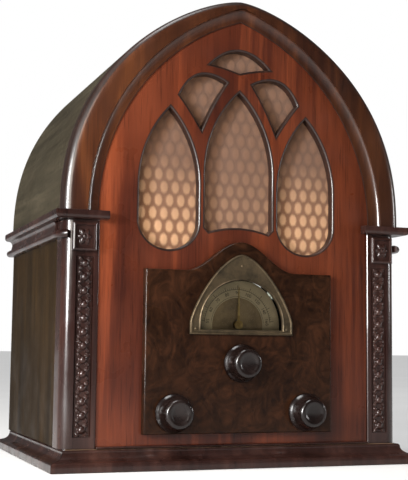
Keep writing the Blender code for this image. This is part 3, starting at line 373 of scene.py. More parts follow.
def sweep(profile, path, before=None, after=None):
    """Run an (outward, z) profile along a plan path. Outward is left of the way travelled."""
    ways = [(Vector(b) - Vector(a)).normalized() for a, b in zip(path, path[1:])]
    first = Vector(before) if before else ways[0]
    last = Vector(after) if after else ways[-1]
    ways = [first] + ways + [last]
    rings = []
    for point, way_in, way_out in zip(path, ways, ways[1:]):
        normal_in = Vector((-way_in.y, way_in.x))
        normal_out = Vector((-way_out.y, way_out.x))
        mitre = (normal_in + normal_out) / (1.0 + normal_in.dot(normal_out))
        rings.append([(point[0] + mitre.x * out, point[1] + mitre.y * out, z) for out, z in profile])
    return skin(rings)


def sheet_of(shape, columns, rows, place_at):
    """A sheet of faces whose corners stand at place_at(column, row). Returns its rows of verts."""
    lines = []
    for row in range(rows + 1):
        lines.append([shape.verts.new(place_at(column, row)) for column in range(columns + 1)])
    for line_a, line_b in zip(lines, lines[1:]):
        for corners in zip(line_a, line_a[1:], line_b[1:], line_b):
            shape.faces.new(corners)
    return lines


def relief(low, high, columns, rows, height_at):
    """A slab in a node's place with a flat back, whose front stands height_at(x, z) forward of it."""
    def place_at(column, row):
        x = low.x + (high.x - low.x) * column / columns
        z = low.z + (high.z - low.z) * row / rows
        return x, high.y - height_at(x, z), z

    shape = bmesh.new()
    lines = sheet_of(shape, columns, rows, place_at)
    rim = lines[0] + [line[-1] for line in lines[1:-1]] + lines[-1][::-1]
    rim += [line[0] for line in lines[-2:0:-1]]
    foot = [shape.verts.new((vert.co.x, high.y, vert.co.z)) for vert in rim]
    bridge(shape, rim, foot)
    fill(shape, [foot])
    return shape


def add(name, shape, finishes, body="cabinet", replaces=None, sharp_deg=32):
    """Turn a shape in the row frame into a piece that rides on a body."""
    bmesh.ops.recalc_face_normals(shape, faces=shape.faces)
    mesh = bpy.data.meshes.new(name)
    shape.to_mesh(mesh)
    shape.free()
    mesh.shade_smooth()
    mesh.set_sharp_from_angle(angle=math.radians(sharp_deg))
    names = finishes.split()
    for finish in names:
        mesh.materials.append(MATERIALS[finish])
    piece = bpy.data.objects.new(name, mesh)
    bpy.context.scene.collection.objects.link(piece)
    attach(piece, body)
    if replaces:
        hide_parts(replaces)
    return piece


def redo(node, suffix, shape, finishes, body="cabinet", sharp_deg=32):
    """Put a finished piece in a CAD node's place."""
    return add(f"{node}_{suffix}", shape, finishes, body, node, sharp_deg)


# ---- Materials -------------------------------------------------------------
MATERIALS = {}


class Surface:
    """One Principled material, kept in MATERIALS, and short calls for the nodes that feed it."""

    def __init__(self, name, roughness=0.5, metallic=0.0, **constants):
        self.material = bpy.data.materials.new(name)
        self.material.use_nodes = True
        self.tree = self.material.node_tree
        self.shader = self.tree.nodes["Principled BSDF"]
        self.put("Roughness", roughness)
        self.put("Metallic", metallic)
        for socket, value in constants.items():
            self.put(socket.replace("_", " "), value)
        MATERIALS[name] = self.material

    def put(self, socket, value):
        self.connect(self.shader.inputs[socket], value)

    def connect(self, socket, value):
        if isinstance(value, bpy.types.NodeSocket):
            self.tree.links.new(value, socket)
        else:
            socket.default_value = value

    def node(self, kind, inputs, output=0, **settings):
        made = self.tree.nodes.new("ShaderNode" + kind)
        for key, value in settings.items():
            setattr(made, key, value)
        for key, value in inputs.items():
            self.connect(made.inputs[key], value)
        return made.outputs[output]

    def place(self, scale, offset=(0.0, 0.0, 0.0)):
        """The row frame's position, in metres, scaled along each axis or by one number."""
        position = self.node("TexCoord", {}, output=3)
        scale = scale if isinstance(scale, (tuple, list)) else (scale,) * 3
        return self.node("Mapping", {0: position, "Scale": scale, "Location": offset})

    def noise(self, vector, scale=1.0, detail=3.0, distortion=0.0, roughness=0.5):
        inputs = {"Vector": vector, "Scale": scale, "Detail": detail, "Distortion": distortion,
                  "Roughness": roughness}
        return self.node("TexNoise", inputs)

    def waves(self, direction, scale, distortion, detail=2.0):
        inputs = {"Vector": self.place(1.0), "Scale": scale, "Distortion": distortion, "Detail": detail}
        return self.node("TexWave", inputs, output=1, bands_direction=direction)

    def axis(self, vector, letter):
        return self.node("SeparateXYZ", {0: vector}, output="XYZ".index(letter))

    def maths(self, operation, *values):
        return self.node("Math", dict(enumerate(values)), operation=operation)

    def vector_maths(self, operation, *values):
        output = 1 if operation == "LENGTH" else 0
        return self.node("VectorMath", dict(enumerate(values)), output, operation=operation)

    def weighted(self, a, share_a, b, share_b):
        return self.maths("ADD", self.maths("MULTIPLY", a, share_a), self.maths("MULTIPLY", b, share_b))

    def spread(self, value, from_low, from_high, to_low, to_high):
        return self.node("MapRange", {"Value": value, 1: from_low, 2: from_high, 3: to_low, 4: to_high})

    def ramp(self, value, *stops):
        """stops are (position, grey or colour) pairs."""
        made = self.tree.nodes.new("ShaderNodeValToRGB")
        self.tree.links.new(value, made.inputs[0])
        elements = made.color_ramp.elements
        while len(elements) < len(stops):
            elements.new(1.0)
        for element, (position, colour) in zip(elements, stops):
            element.position = position
            element.color = (*colour, 1.0) if isinstance(colour, tuple) else (colour, colour, colour, 1.0)
        return made.outputs[0]

    def blend(self, factor, a, b, mode="MIX"):
        made = self.tree.nodes.new("ShaderNodeMix")
        made.data_type = "RGBA"
        made.blend_type = mode
        self.connect(made.inputs[0], factor)
        for socket, value in ((made.inputs[6], a), (made.inputs[7], b)):
            self.connect(socket, (*value, 1.0) if isinstance(value, tuple) else value)
        return made.outputs[2]

    def shade(self, share, colour, value, *stops):
        """A colour darkened by a share of a ramp of value."""
        return self.blend(share, colour, self.ramp(value, *stops), "MULTIPLY")

    def bump(self, height, distance):
        self.put("Normal", self.node("Bump", {"Height": height, "Distance": distance, "Strength": 1.0}))


def wood(name, dark, middle, light, patches, grain="Z", roughness=0.3, coat=0.5, figure=1.0, shine=0.4,
         film=0.12, painted_side_shade=0.0):
    """Veneer or solid wood: long figure, fine fibre, open pores and a film of shellac. The last argument is a
    painted shade: the colour darkens toward the right and is lighter on the left, where the light falls."""
    surface = Surface(name, Coat_Weight=coat, Coat_Roughness=film, Specular_IOR_Level=shine)

    def along_grain(across, lengthwise):
        return surface.place([lengthwise if axis == grain else across for axis in "XYZ"])

    broad = surface.noise(along_grain(16.0 * figure, 2.6 * figure), detail=4, distortion=1.6)
    streak = surface.noise(along_grain(130.0, 5.0), detail=5, distortion=0.4, roughness=0.6)
    fibre = surface.noise(along_grain(900.0, 30.0), detail=2)
    figured = surface.weighted(broad, 0.55, streak, 0.45)
    colour = surface.ramp(figured, (0.34, dark), (0.5, middle), (0.66, light))
    stain = surface.ramp(surface.noise(surface.place((9.0, 9.0, 7.0), (3.1, 0.4, 1.7)), detail=2),
                         (0.4, 0.0), (0.68, 1.0))
    colour = surface.blend(surface.maths("MULTIPLY", stain, patches), colour, light)
    colour = surface.shade(0.8, colour, fibre, (0.3, 0.55), (0.42, 1.0))
    # Painted shade: the colour is multiplied down from left to right across the panel, standing in for light
    # from the left.
    sideways = surface.axis(surface.place(1.0), "X")
    painted_shade_factor = surface.spread(sideways, -PANEL_HALF_WIDTH, PANEL_HALF_WIDTH, 1.0, 1.0 - painted_side_shade)
    surface.put("Base Color", surface.blend(1.0, colour, painted_shade_factor, "MULTIPLY"))
    smudge = surface.noise(surface.place(28.0), detail=3)
    surface.put("Roughness", surface.ramp(smudge, (0.3, roughness - 0.07), (0.7, roughness + 0.14)))
    surface.bump(surface.maths("ADD", surface.maths("MULTIPLY", fibre, 0.6), streak), 0.00012)


def burl(name):
    """Swirled dark burl veneer with small eyes."""
    surface = Surface(name, Coat_Weight=0.1, Coat_Roughness=0.15, Specular_IOR_Level=0.07)
    warped = surface.noise(surface.place(14.0), detail=3, distortion=2.2)
    swirl = surface.noise(surface.place((46.0, 46.0, 40.0)), detail=6, distortion=3.4, roughness=0.62)
    eyes = surface.node("TexVoronoi", {"Vector": surface.place(95.0), "Scale": 1.0})
    colour = surface.ramp(surface.weighted(swirl, 0.65, warped, 0.35), (0.36, (0.009, 0.0036, 0.0019)),
                          (0.5, (0.021, 0.0082, 0.0038)), (0.68, (0.046, 0.0165, 0.0072)))
    surface.put("Base Color", surface.shade(0.7, colour, eyes, (0.04, 0.45), (0.16, 1.0)))
    surface.put("Roughness", surface.ramp(warped, (0.3, 0.22), (0.7, 0.34)))
    surface.bump(swirl, 0.0001)


def ragged_ovals(surface, position):
    """The distance to the middle of the nearest woven oval, as a share of its size, with a frayed edge."""
    cell = (CLOTH_PITCH[0], 1.0, 2 * CLOTH_PITCH[1])
    to_oval = (2 * cell[0] / OVAL_SIZE[0], 0.0, 2 * cell[2] / OVAL_SIZE[1])
    ovals = []
    for shift in OVAL_ROW_SHIFTS:
        lattice = surface.node("Mapping", {0: position, "Scale": [1.0 / size for size in cell],
                                           "Location": (shift, 0.0, shift)})
        in_cell = surface.vector_maths("FRACTION", lattice)
        centred = surface.vector_maths("SUBTRACT", in_cell, (0.5, 0.0, 0.5))
        ovals.append(surface.vector_maths("LENGTH", surface.vector_maths("MULTIPLY", centred, to_oval)))
    fray = surface.maths("SUBTRACT", surface.noise(position, scale=900.0), 0.5)
    return surface.maths("ADD", surface.maths("MINIMUM", *ovals), surface.maths("MULTIPLY", fray, 0.5))


def grille_weave(name):
    """Tan cloth of crossing threads with offset rows of pale ovals. Painted light brightens its low outer
    corners.
    """
    surface = Surface(name, roughness=0.85, Sheen_Weight=0.3, Sheen_Roughness=0.5)
    position = surface.place(1.0)
    # Painted light: a mask that is strongest low down and toward the sides, with a noisy edge.
    light_edge_noise = surface.noise(surface.place(14.0, (0.7, 0.0, 0.2)), detail=3)
    wander = surface.maths("MULTIPLY", surface.maths("SUBTRACT", light_edge_noise, 0.5), 0.06)
    height = surface.maths("ADD", surface.axis(position, "Z"), wander)
    sideways = surface.maths("ABSOLUTE", surface.axis(position, "X"))
    painted_light_mask = surface.maths("MULTIPLY", surface.spread(height, 0.3, 0.225, 0.0, 1.0),
                             surface.spread(sideways, 0.03, 0.046, 0.28, 1.0))
    # The oval and ground colours each blend from a shaded tone to a lit tone by the painted light mask.
    pale = surface.blend(painted_light_mask, (0.19, 0.083, 0.037), (0.65, 0.36, 0.18))
    ground = surface.blend(painted_light_mask, (0.14, 0.06, 0.026), (0.24, 0.094, 0.033))
    mask = surface.ramp(ragged_ovals(surface, position), (0.6, 1.0), (0.98, 0.0))
    warp = surface.waves("X", 560.0, 0.6, 1.0)
    weft = surface.waves("Z", 430.0, 0.6, 1.0)
    threads = surface.maths("MULTIPLY", warp, weft)
    colour = surface.blend(mask, ground, pale)
    surface.put("Base Color", surface.shade(0.45, colour, threads, (0.0, 0.6), (0.6, 1.0)))
    surface.bump(threads, 0.00015)


def metal(name, colour, patina, roughness=0.35, metallic=1.0, scratch=0.25, scale=1.0):
    """Metal with fine scratches and patches of patina."""
    surface = Surface(name, metallic=metallic)
    patches = surface.noise(surface.place(70.0 * scale), detail=5, roughness=0.65)
    lines = surface.noise(surface.place((1500.0, 1500.0, 90.0)), detail=2)
    base = surface.ramp(patches, (0.36, patina), (0.6, colour))
    surface.put("Base Color", surface.shade(scratch, base, lines, (0.3, 0.55), (0.6, 1.0)))
    surface.put("Roughness", surface.ramp(patches, (0.3, min(roughness + 0.22, 1.0)), (0.65, roughness)))
    surface.bump(surface.maths("ADD", lines, surface.maths("MULTIPLY", patches, 0.6)), 0.00006)


def moulded(name, colour, roughness, mottle=0.5, coat=0.0, grit=0.00003, shine=0.5):
    """Bakelite, paint, rubber or paper: one colour with a mottle, fine grit and handling marks."""
    surface = Surface(name, Coat_Weight=coat, Coat_Roughness=0.12, Specular_IOR_Level=shine)
    blotch = surface.noise(surface.place(60.0), detail=4, distortion=0.8)
    fine = surface.noise(surface.place(1400.0), detail=2)
    lighter = tuple(channel * (1.0 + mottle) + 0.003 * mottle for channel in colour)
    darker = tuple(channel * (1.0 - 0.5 * mottle) for channel in colour)
    surface.put("Base Color", surface.ramp(blotch, (0.35, darker), (0.5, colour), (0.7, lighter)))
    surface.put("Roughness", surface.ramp(blotch, (0.3, roughness), (0.7, min(roughness + 0.15, 1.0))))
    surface.bump(fine, grit)


def clear_glass(name):
    """Thin glass: what is behind shows straight through, with a mirror film and faint dust."""
    surface = Surface(name)
    dust = surface.noise(surface.place(45.0), detail=5)
    surface.put("Roughness", surface.ramp(dust, (0.4, 0.03), (0.8, 0.12)))
    surface.put("Base Color", surface.ramp(dust, (0.4, (0.012, 0.012, 0.011)), (0.8, (0.1, 0.095, 0.085))))
    through = surface.node("BsdfTransparent", {"Color": (0.93, 0.94, 0.91, 1.0)})
    mirror = surface.node("Fresnel", {"IOR": 1.45})
    film = surface.maths("ADD", mirror, surface.ramp(dust, (0.45, 0.004), (0.8, 0.035)))
    mixed = surface.node("MixShader", {0: film, 1: through, 2: surface.shader.outputs[0]})
    surface.connect(surface.tree.nodes["Material Output"].inputs["Surface"], mixed)


def plywood_edge(name):
    """Bands of thin plies, dark glue lines between them, across the roof shell's cut edge."""
    surface = Surface(name, roughness=0.7)
    depth = surface.node("Attribute", {}, output=2, attribute_name="ply")
    bands = surface.maths("PINGPONG", surface.maths("MULTIPLY", depth, 5.0), 1.0)
    fibre = surface.noise(surface.place(400.0), detail=3)
    plies = surface.ramp(bands, (0.1, (0.035, 0.018, 0.008)), (0.3, (0.2, 0.115, 0.055)),
                         (0.9, (0.28, 0.17, 0.085)))
    surface.put("Base Color", surface.shade(0.5, plies, fibre, (0.3, 0.6), (0.7, 1.0)))
    surface.bump(fibre, 0.0002)


def iron_sheets(name):
    """Stacked iron sheets seen on edge, stacked along Y."""
    surface = Surface(name, roughness=0.5, metallic=0.8)
    sheets = surface.waves("Y", 420.0, 0.3)
    rust = surface.noise(surface.place(90.0), detail=4)
    colour = surface.ramp(rust, (0.4, (0.06, 0.048, 0.042)), (0.7, (0.12, 0.07, 0.045)))
    surface.put("Base Color", surface.shade(0.8, colour, sheets, (0.2, 0.35), (0.6, 1.0)))
    surface.bump(sheets, 0.0002)


def lamp_glow(name):
    """The lamp's filament: no light comes from it, but its warm orange colour is a painted glow."""
    surface = Surface(name, roughness=0.4)
    warm = surface.noise(surface.place(800.0))
    surface.put("Base Color", surface.ramp(warm, (0.3, (0.5, 0.25, 0.1)), (0.7, (0.8, 0.5, 0.2))))


def build_woods():
    # front_wood and arch_wood get a painted shade that darkens them toward the right.
    wood("front_wood", (0.036, 0.009, 0.0055), (0.084, 0.0185, 0.0088), (0.23, 0.052, 0.019),
         patches=0.6, figure=0.8, coat=0.22, shine=0.15, painted_side_shade=0.52)
    wood("arch_wood", (0.017, 0.0055, 0.003), (0.042, 0.013, 0.006), (0.105, 0.033, 0.011),
         figure=1.6, patches=0.5, shine=0.12, film=0.16, painted_side_shade=0.42)
    wood("dark_wood", (0.012, 0.0048, 0.004), (0.026, 0.0105, 0.0085), (0.056, 0.024, 0.018),
         roughness=0.26, coat=0.35, patches=0.2, shine=0.15, film=0.07)
    # A darker wood: partly a real dark stain on the window edges, partly painted shade in creases and on
    # rounded edges.
    wood("dark_stain", (0.01, 0.004, 0.003), (0.02, 0.008, 0.005), (0.04, 0.015, 0.009),
         roughness=0.4, coat=0.3, patches=0.2, shine=0.2, film=0.2)
    wood("side_wood", (0.009, 0.0048, 0.0017), (0.02, 0.011, 0.0036), (0.038, 0.0205, 0.0066),
         roughness=0.5, coat=0.0, patches=0.3, shine=0.05)
    wood("roof_wood", (0.024, 0.019, 0.0115), (0.041, 0.034, 0.021), (0.07, 0.057, 0.036), grain="Y",
         roughness=0.62, coat=0.0, patches=0.3, shine=0.08)
    wood("board_wood", (0.13, 0.075, 0.036), (0.23, 0.14, 0.07), (0.34, 0.22, 0.12), grain="X",
         roughness=0.65, coat=0.0, patches=0.2)
    burl("burl_wood")
    plywood_edge("ply_edge")


def build_metals():
    metal("escutcheon_bronze", (0.088, 0.062, 0.034), (0.029, 0.021, 0.011), 0.45, metallic=0.8, scratch=0.3)
    metal("dial_centre", (0.32, 0.215, 0.12), (0.2, 0.135, 0.075), 0.5, metallic=0.4)
    metal("chassis_steel", (0.34, 0.33, 0.3), (0.15, 0.135, 0.105), 0.42, scale=0.6)
    metal("bright_steel", (0.56, 0.55, 0.53), (0.3, 0.28, 0.25), 0.28)
    metal("aluminium", (0.62, 0.62, 0.6), (0.34, 0.335, 0.31), 0.34)
    metal("brass", (0.56, 0.38, 0.15), (0.26, 0.16, 0.06), 0.32)
    metal("copper_winding", (0.43, 0.13, 0.05), (0.23, 0.06, 0.026))
    metal("plate_metal", (0.07, 0.07, 0.072), (0.03, 0.03, 0.032), 0.5)
    iron_sheets("laminations")


def build_other_materials():
    grille_weave("grille_fabric")
    clear_glass("dial_glass")
    clear_glass("tube_glass")
    lamp_glow("glow_wire")
    moulded("dial_card", (0.54, 0.415, 0.275), 0.6, mottle=0.18)
    moulded("dial_ink", (0.02, 0.014, 0.01), 0.7, mottle=0.2)
    moulded("black_paint", (0.012, 0.012, 0.013), 0.35, mottle=0.4, coat=0.3)
    moulded("cone_paper", (0.035, 0.028, 0.021), 0.9, grit=0.0002)
    moulded("bakelite", (0.008, 0.0042, 0.0036), 0.18, mottle=0.6, coat=0.22, shine=0.28)
    moulded("black_rubber", (0.014, 0.014, 0.014), 0.75, mottle=0.3, grit=0.00008)
    moulded("wax_paper", (0.23, 0.13, 0.05), 0.45, mottle=0.3, coat=0.3)
    moulded("mica", (0.5, 0.48, 0.4), 0.3, mottle=0.2, coat=0.4)


def dress_frame():
    """Give every CAD node the finish that the record names for it."""
    for row in frame["record"]["subparts"]:
        node = frame["nodes"][row["node"]]
        node.data.materials.clear()
        node.data.materials.append(MATERIALS[row["material_slot"]])


# ---- Camera, light and floor -----------------------------------------------
CAMERA_PLACE = (-0.40325, -1.10403, 0.11067)
CAMERA_YAW = math.radians(-20.33)
CAMERA_PITCH = math.radians(5.79)
CAMERA_ROLL = math.radians(0.67)
CAMERA_LENS = 81.74
LIGHT_TARGET = Vector((0.0, -0.05, 0.25))
FLOOR_REACH = 40.0


def build_camera():
    """Camera at the front left of the radio, at the height of its dial, looking slightly up."""
    flat_ahead = Vector((-math.sin(CAMERA_YAW), math.cos(CAMERA_YAW), 0.0))
    ahead = math.cos(CAMERA_PITCH) * flat_ahead + math.sin(CAMERA_PITCH) * Vector((0.0, 0.0, 1.0))
    level = Vector((math.cos(CAMERA_YAW), math.sin(CAMERA_YAW), 0.0))
    up = level.cross(ahead)
    right = math.cos(CAMERA_ROLL) * level + math.sin(CAMERA_ROLL) * up
    top = -math.sin(CAMERA_ROLL) * level + math.cos(CAMERA_ROLL) * up
    data = bpy.data.cameras.new("camera")
    data.lens = CAMERA_LENS
    data.clip_start = 0.02
    data.clip_end = 60.0
    camera = bpy.data.objects.new("camera", data)
    turn = Matrix((right, top, -ahead)).transposed()
    camera.matrix_world = Matrix.Translation(CAMERA_PLACE) @ turn.to_4x4()
    bpy.context.scene.collection.objects.link(camera)
    bpy.context.scene.camera = camera


def build_floor():
    shape = bmesh.new()
    bmesh.ops.create_grid(shape, x_segments=1, y_segments=1, size=FLOOR_REACH)
    mesh = bpy.data.meshes.new("floor")
    shape.to_mesh(mesh)
    shape.free()
    surface = Surface("floor_paint", roughness=0.9)
    speckle = surface.noise(surface.place(3.0), detail=2)
    surface.put("Base Color", surface.ramp(speckle, (0.3, 0.8), (0.7, 0.84)))
    mesh.materials.append(surface.material)
    floor = bpy.data.objects.new("floor", mesh)
    floor.location.z = -GAP
    bpy.context.scene.collection.objects.link(floor)


def build_backdrop():
    """A world that the camera sees as white and that gives only a little light."""
    world = bpy.data.worlds.new("studio")
    world.use_nodes = True
    tree = world.node_tree
    background = tree.nodes["Background"]
    seen = tree.nodes.new("ShaderNodeLightPath").outputs["Is Camera Ray"]
    strength = tree.nodes.new("ShaderNodeMapRange")
    strength.inputs["To Min"].default_value = 0.09
    strength.inputs["To Max"].default_value = 1.0
    tree.links.new(seen, strength.inputs["Value"])
    tree.links.new(strength.outputs[0], background.inputs["Strength"])
    background.inputs["Color"].default_value = (1.0, 1.0, 1.0, 1.0)
    bpy.context.scene.world = world
    bpy.context.scene.view_settings.view_transform = "Standard"


def area_light(name, place, size, watts, colour=(1.0, 1.0, 1.0), gloss_only=False):
    data = bpy.data.lights.new(name, "AREA")
    data.shape = "RECTANGLE"
    data.size, data.size_y = size
    data.energy = watts
    data.color = colour
    light = bpy.data.objects.new(name, data)
    light.location = place
    light.rotation_mode = "QUATERNION"
    light.rotation_quaternion = (LIGHT_TARGET - Vector(place)).to_track_quat("-Z", "Y")
    light.visible_camera = False
    light.visible_diffuse = not gloss_only
    bpy.context.scene.collection.objects.link(light)


def build_lights():
    """Soft overhead daylight, a warm key and a near lamp at the left, and upright windows at both sides."""
    sun = bpy.data.lights.new("overhead", "SUN")
    sun.energy = 2.0
    sun.angle = math.radians(25)
    overhead = bpy.data.objects.new("overhead", sun)
    overhead.rotation_euler = (math.radians(5), math.radians(-9), 0.0)
    bpy.context.scene.collection.objects.link(overhead)
    area_light("key_left", (-1.3, -1.9, 1.5), (0.7, 0.7), 13.0, (1.0, 0.94, 0.86))
    area_light("window_left", (-1.6, -0.9, 0.45), (0.1, 0.5), 25.0)
    area_light("window_left_sheen", (-1.5, -0.95, 0.5), (0.4, 0.65), 85.0, gloss_only=True)
    area_light("near_left", (-0.72, -0.74, 0.42), (0.45, 0.3), 6.0, (1.0, 0.93, 0.84))
    area_light("window_right", (1.7, -0.62, 0.42), (0.06, 0.4), 8.0)


# ---- Outlines --------------------------------------------------------------
def pointed_arch(half, rise, spring_z, centre_x=0.0):
    """Two-centred arch, from its right foot over the point to its left foot."""
    reach = (rise * rise - half * half) / (2 * half)
    radius = half + reach
    opening = math.degrees(math.acos(reach / radius))
    right = arc((-reach, spring_z), radius, 0, opening, 26)[:-1]
    return [(centre_x + x, z) for x, z in both_halves(right + [(0.0, spring_z + rise)])]


def crowned_half_width(share, half_span, powers):
    """Half the width of a crowned arch at a share of its height."""
    return half_span * (1 - share ** powers[0]) ** powers[1]


def crowned_arch(half_span, spring_z, top_z, powers, steps=64):
    """An arch that leans in and then rounds over its crown, from its right foot to its left foot."""
    right = []
    for step in range(steps):
        share = math.sin(math.pi / 2 * step / steps)
        right.append((crowned_half_width(share, half_span, powers), spring_z + (top_z - spring_z) * share))
    return both_halves(right + [(0.0, top_z)])


def outer_arch(inset=0.0):
    """The cabinet's arched outline, moved inwards by inset."""
    return crowned_arch(ARCH_HALF_SPAN - inset, SPRING_Z, HEIGHT - inset, ARCH_POWERS)


def side_lancet(sign):
    lancet = SIDE_LANCET
    x = sign * lancet["x"]
    foot = arc((x, lancet["foot"]), (lancet["half"], lancet["drop"]), 180, 360, 32)
    return pointed_arch(lancet["half"], lancet["rise"], lancet["spring"], x) + foot


def middle_lancet():
    lancet = MIDDLE_LANCET
    half = lancet["half"]
    foot_z = lancet["foot"]
    corner = 0.004
    left_foot = (-half + corner, foot_z)
    right_foot = (half - corner, foot_z)
    points = pointed_arch(half, lancet["rise"], lancet["spring"])
    points += [(-half, foot_z + corner), *bowed(left_foot, right_foot, lancet["crown"], 20)]
    return points + [right_foot, (half, foot_z + corner)]


def spandrel(sign):
    """The leaf-shaped opening between two lancet heads."""
    outer_tip = (0.063, 0.3595)
    inner_tip = (0.014, 0.376)
    foot = (0.04, 0.327)
    points = bowed(outer_tip, inner_tip, -0.014, 20)
    points += bowed(inner_tip, foot, 0.0016, 10)
    points += bowed(foot, outer_tip, 0.0008, 10)
    return [(sign * x, z) for x, z in points]


def crown_lens():
    right_tip = (0.031, 0.3935)
    left_tip = (-0.031, 0.3935)
    low_middle = (0.0, 0.387)
    points = bowed(right_tip, left_tip, -0.0155, 28)
    points += bowed(left_tip, low_middle, 0.0008, 8)
    return points + bowed(low_middle, right_tip, 0.0008, 8)


def window_openings():
    return [side_lancet(-1), middle_lancet(), side_lancet(1), spandrel(-1), spandrel(1), crown_lens()]


def half_moon(radius, foot_z):
    """A half disc about the dial centre with straight sides down to foot_z."""
    return arc(DIAL_AXIS, radius, 0, 180, 72) + [(-radius, foot_z), (radius, foot_z)]


def control_holes():
    return [circle(x, z, PANEL_HOLE_RADIUS) for x, z in CONTROLS.values()]


# ---- Cabinet ---------------------------------------------------------------
def base_profile(height, overhang):
    """(outward, z) section: a square foot with an eased edge under a hollow slope and a small step."""
    points = mm((0, 0)) + [(overhang - EASE, 0.0), (overhang, EASE), (overhang, 0.0066)]
    points += arc((overhang - 0.0016, 0.0066), (0.0016, 0.002), 0, 90, 4)[1:]
    points += arc((0.0135, 0.017), (0.0095, 0.0074), 270, 180, 12)
    return points + [(0.004, height - 0.0014), (0.0034, height - EASE), (0.0028, height), (0.0, height)]


def build_base():
    low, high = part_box("base_moulding_right")
    side_x = low.x
    front_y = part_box("base_moulding_front")[1].y
    profile = base_profile(high.z, high.x - low.x)
    for side, sign in SIDES:
        run = sweep(profile, [(side_x, high.y), (side_x, front_y + GAP)], after=(-1, 0))
        redo(f"base_moulding_{side}", "run", mirrored(run, sign), "dark_wood")
    run = sweep(profile, [(side_x - GAP, front_y), (-side_x + GAP, front_y)], before=(0, -1), after=(0, 1))
    redo("base_moulding_front", "run", run, "dark_wood")

    board_low, board_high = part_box("bottom_board")
    bead = block((-PANEL_HALF_WIDTH, board_low.y, board_high.z + GAP),
                 (PANEL_HALF_WIDTH, PANEL_LOW.y - GAP, board_high.z + FOOT_BEAD_HEIGHT), 0.0009)
    add("panel_foot_bead", bead, "dark_wood")


def build_roof():
    """The bent plywood shell, with its plies showing at both cut edges."""
    front = ROOF_LOW.y
    back = ROOF_HIGH.y
    inner_stations = [front + (back - front) * step / 12 for step in range(1, 12)]
    stations = [front + EASE] + inner_stations + [back - EASE]
    outer_edge = (outer_arch(EASE), EASE / ROOF_THICKNESS)
    inner_edge = (outer_arch(ROOF_THICKNESS - EASE), 1 - EASE / ROOF_THICKNESS)
    rows = [(*outer_edge, front)]
    rows += [(outer_arch(), 0.0, y) for y in stations]
    rows += [(*outer_edge, back), (*inner_edge, back)]
    rows += [(outer_arch(ROOF_THICKNESS), 1.0, y) for y in reversed(stations)]
    rows += [(*inner_edge, front)]

    shape = bmesh.new()
    layer = shape.verts.layers.float.new("ply")
    made = []
    for points, depth, y in rows:
        made.append([shape.verts.new((x, y, z)) for x, z in points])
        for vert in made[-1]:
            vert[layer] = depth
    last_outer = len(stations) + 1
    for i, row_a in enumerate(made):
        row_b = made[(i + 1) % len(made)]
        is_cut = i in (last_outer, len(made) - 1)
        finish = 1 if is_cut else (2 if i > last_outer else 0)
        for a, b, c, d in zip(row_a, row_a[1:], row_b[1:], row_b):
            shape.faces.new((a, b, c, d)).material_index = finish
    for end in (0, -1):
        shape.faces.new([row[end] for row in made]).material_index = 1
    redo("roof_shell", "veneered", shape, "roof_wood ply_edge board_wood")


def column_plan():
    """Plan section of the corner post, rounded on its outer front corner, as (x, y, in the sunk panel)."""
    front_y = COLUMN_LOW.y
    left = FLUTE_LOW.x - GAP
    right = FLUTE_HIGH.x + GAP
    corner = (COLUMN_HIGH.x - COLUMN_CORNER_RADIUS, front_y + COLUMN_CORNER_RADIUS)
    points = [(COLUMN_LOW.x, COLUMN_HIGH.y), (COLUMN_LOW.x, front_y + EASE), (COLUMN_LOW.x + EASE, front_y),
              (left - 0.001, front_y), (left, front_y + 0.0002), (right, front_y + 0.0002),
              (right + 0.001, front_y)]
    points += arc(corner, COLUMN_CORNER_RADIUS, -90, 0, 14) + [(COLUMN_HIGH.x, COLUMN_HIGH.y)]
    return [(x, y, i in (4, 5)) for i, (x, y) in enumerate(points)]


def build_columns():
    """Corner posts with a sunk panel on the front for the carving."""
    low_z = FLUTE_LOW.z - GAP
    high_z = FLUTE_HIGH.z + GAP
    step = 0.0001
    levels = [(COLUMN_LOW.z, False), (low_z - step, False), (low_z, True), (high_z, True),
              (high_z + step, False), (COLUMN_HIGH.z, False)]
    sunk_y = COLUMN_LOW.y + FLUTE_DEPTH
    for side, sign in SIDES:
        rings = [[(x, sunk_y if in_panel and is_sunk else y, z) for x, y, in_panel in column_plan()]
                 for z, is_sunk in levels]
        redo(f"column_{side}", "post", mirrored(skin(rings), sign), "dark_wood", sharp_deg=28)


def rim_distance(x, z, low, high):
    return min(x - low.x, high.x - x, z - low.z, high.z - z)


def leaf_height(across, up, turn_deg):
    """Height of a pair of leaves that point away from a bead's middle, each with a vein down its length."""
    angle = math.radians(turn_deg)
    lengthwise = abs(across * math.cos(angle) + up * math.sin(angle)) - 0.0054
    sideways = -across * math.sin(angle) + up * math.cos(angle)
    inside = 1 - (lengthwise / 0.0031) ** 2 - (sideways / 0.0019) ** 2
    vein = 0.35 * math.exp(-(sideways / 0.0004) ** 2)
    return 0.0021 * math.sqrt(max(inside, 0.0)) * (1 - vein)


def carving_height(x, z):
    """Beads in a row, each set in four leaves, over a sunk ground with a plain rim."""
    low, high = FLUTE_LOW, FLUTE_HIGH
    ground = 0.0009
    if rim_distance(x, z, low, high) < 0.0007:
        return ground + 0.0009
    pitch = (high.z - low.z) / CARVING_BEADS
    across = x - (low.x + high.x) / 2
    up = (((z - low.z) / pitch) % 1.0 - 0.5) * pitch
    radius = 0.0037
    from_centre = math.hypot(across, up)
    if from_centre < radius:
        return ground + 0.0036 * math.sqrt(1 - (from_centre / radius) ** 2) + 0.0002
    return ground + max(leaf_height(across, up, 45), leaf_height(across, up, 135))


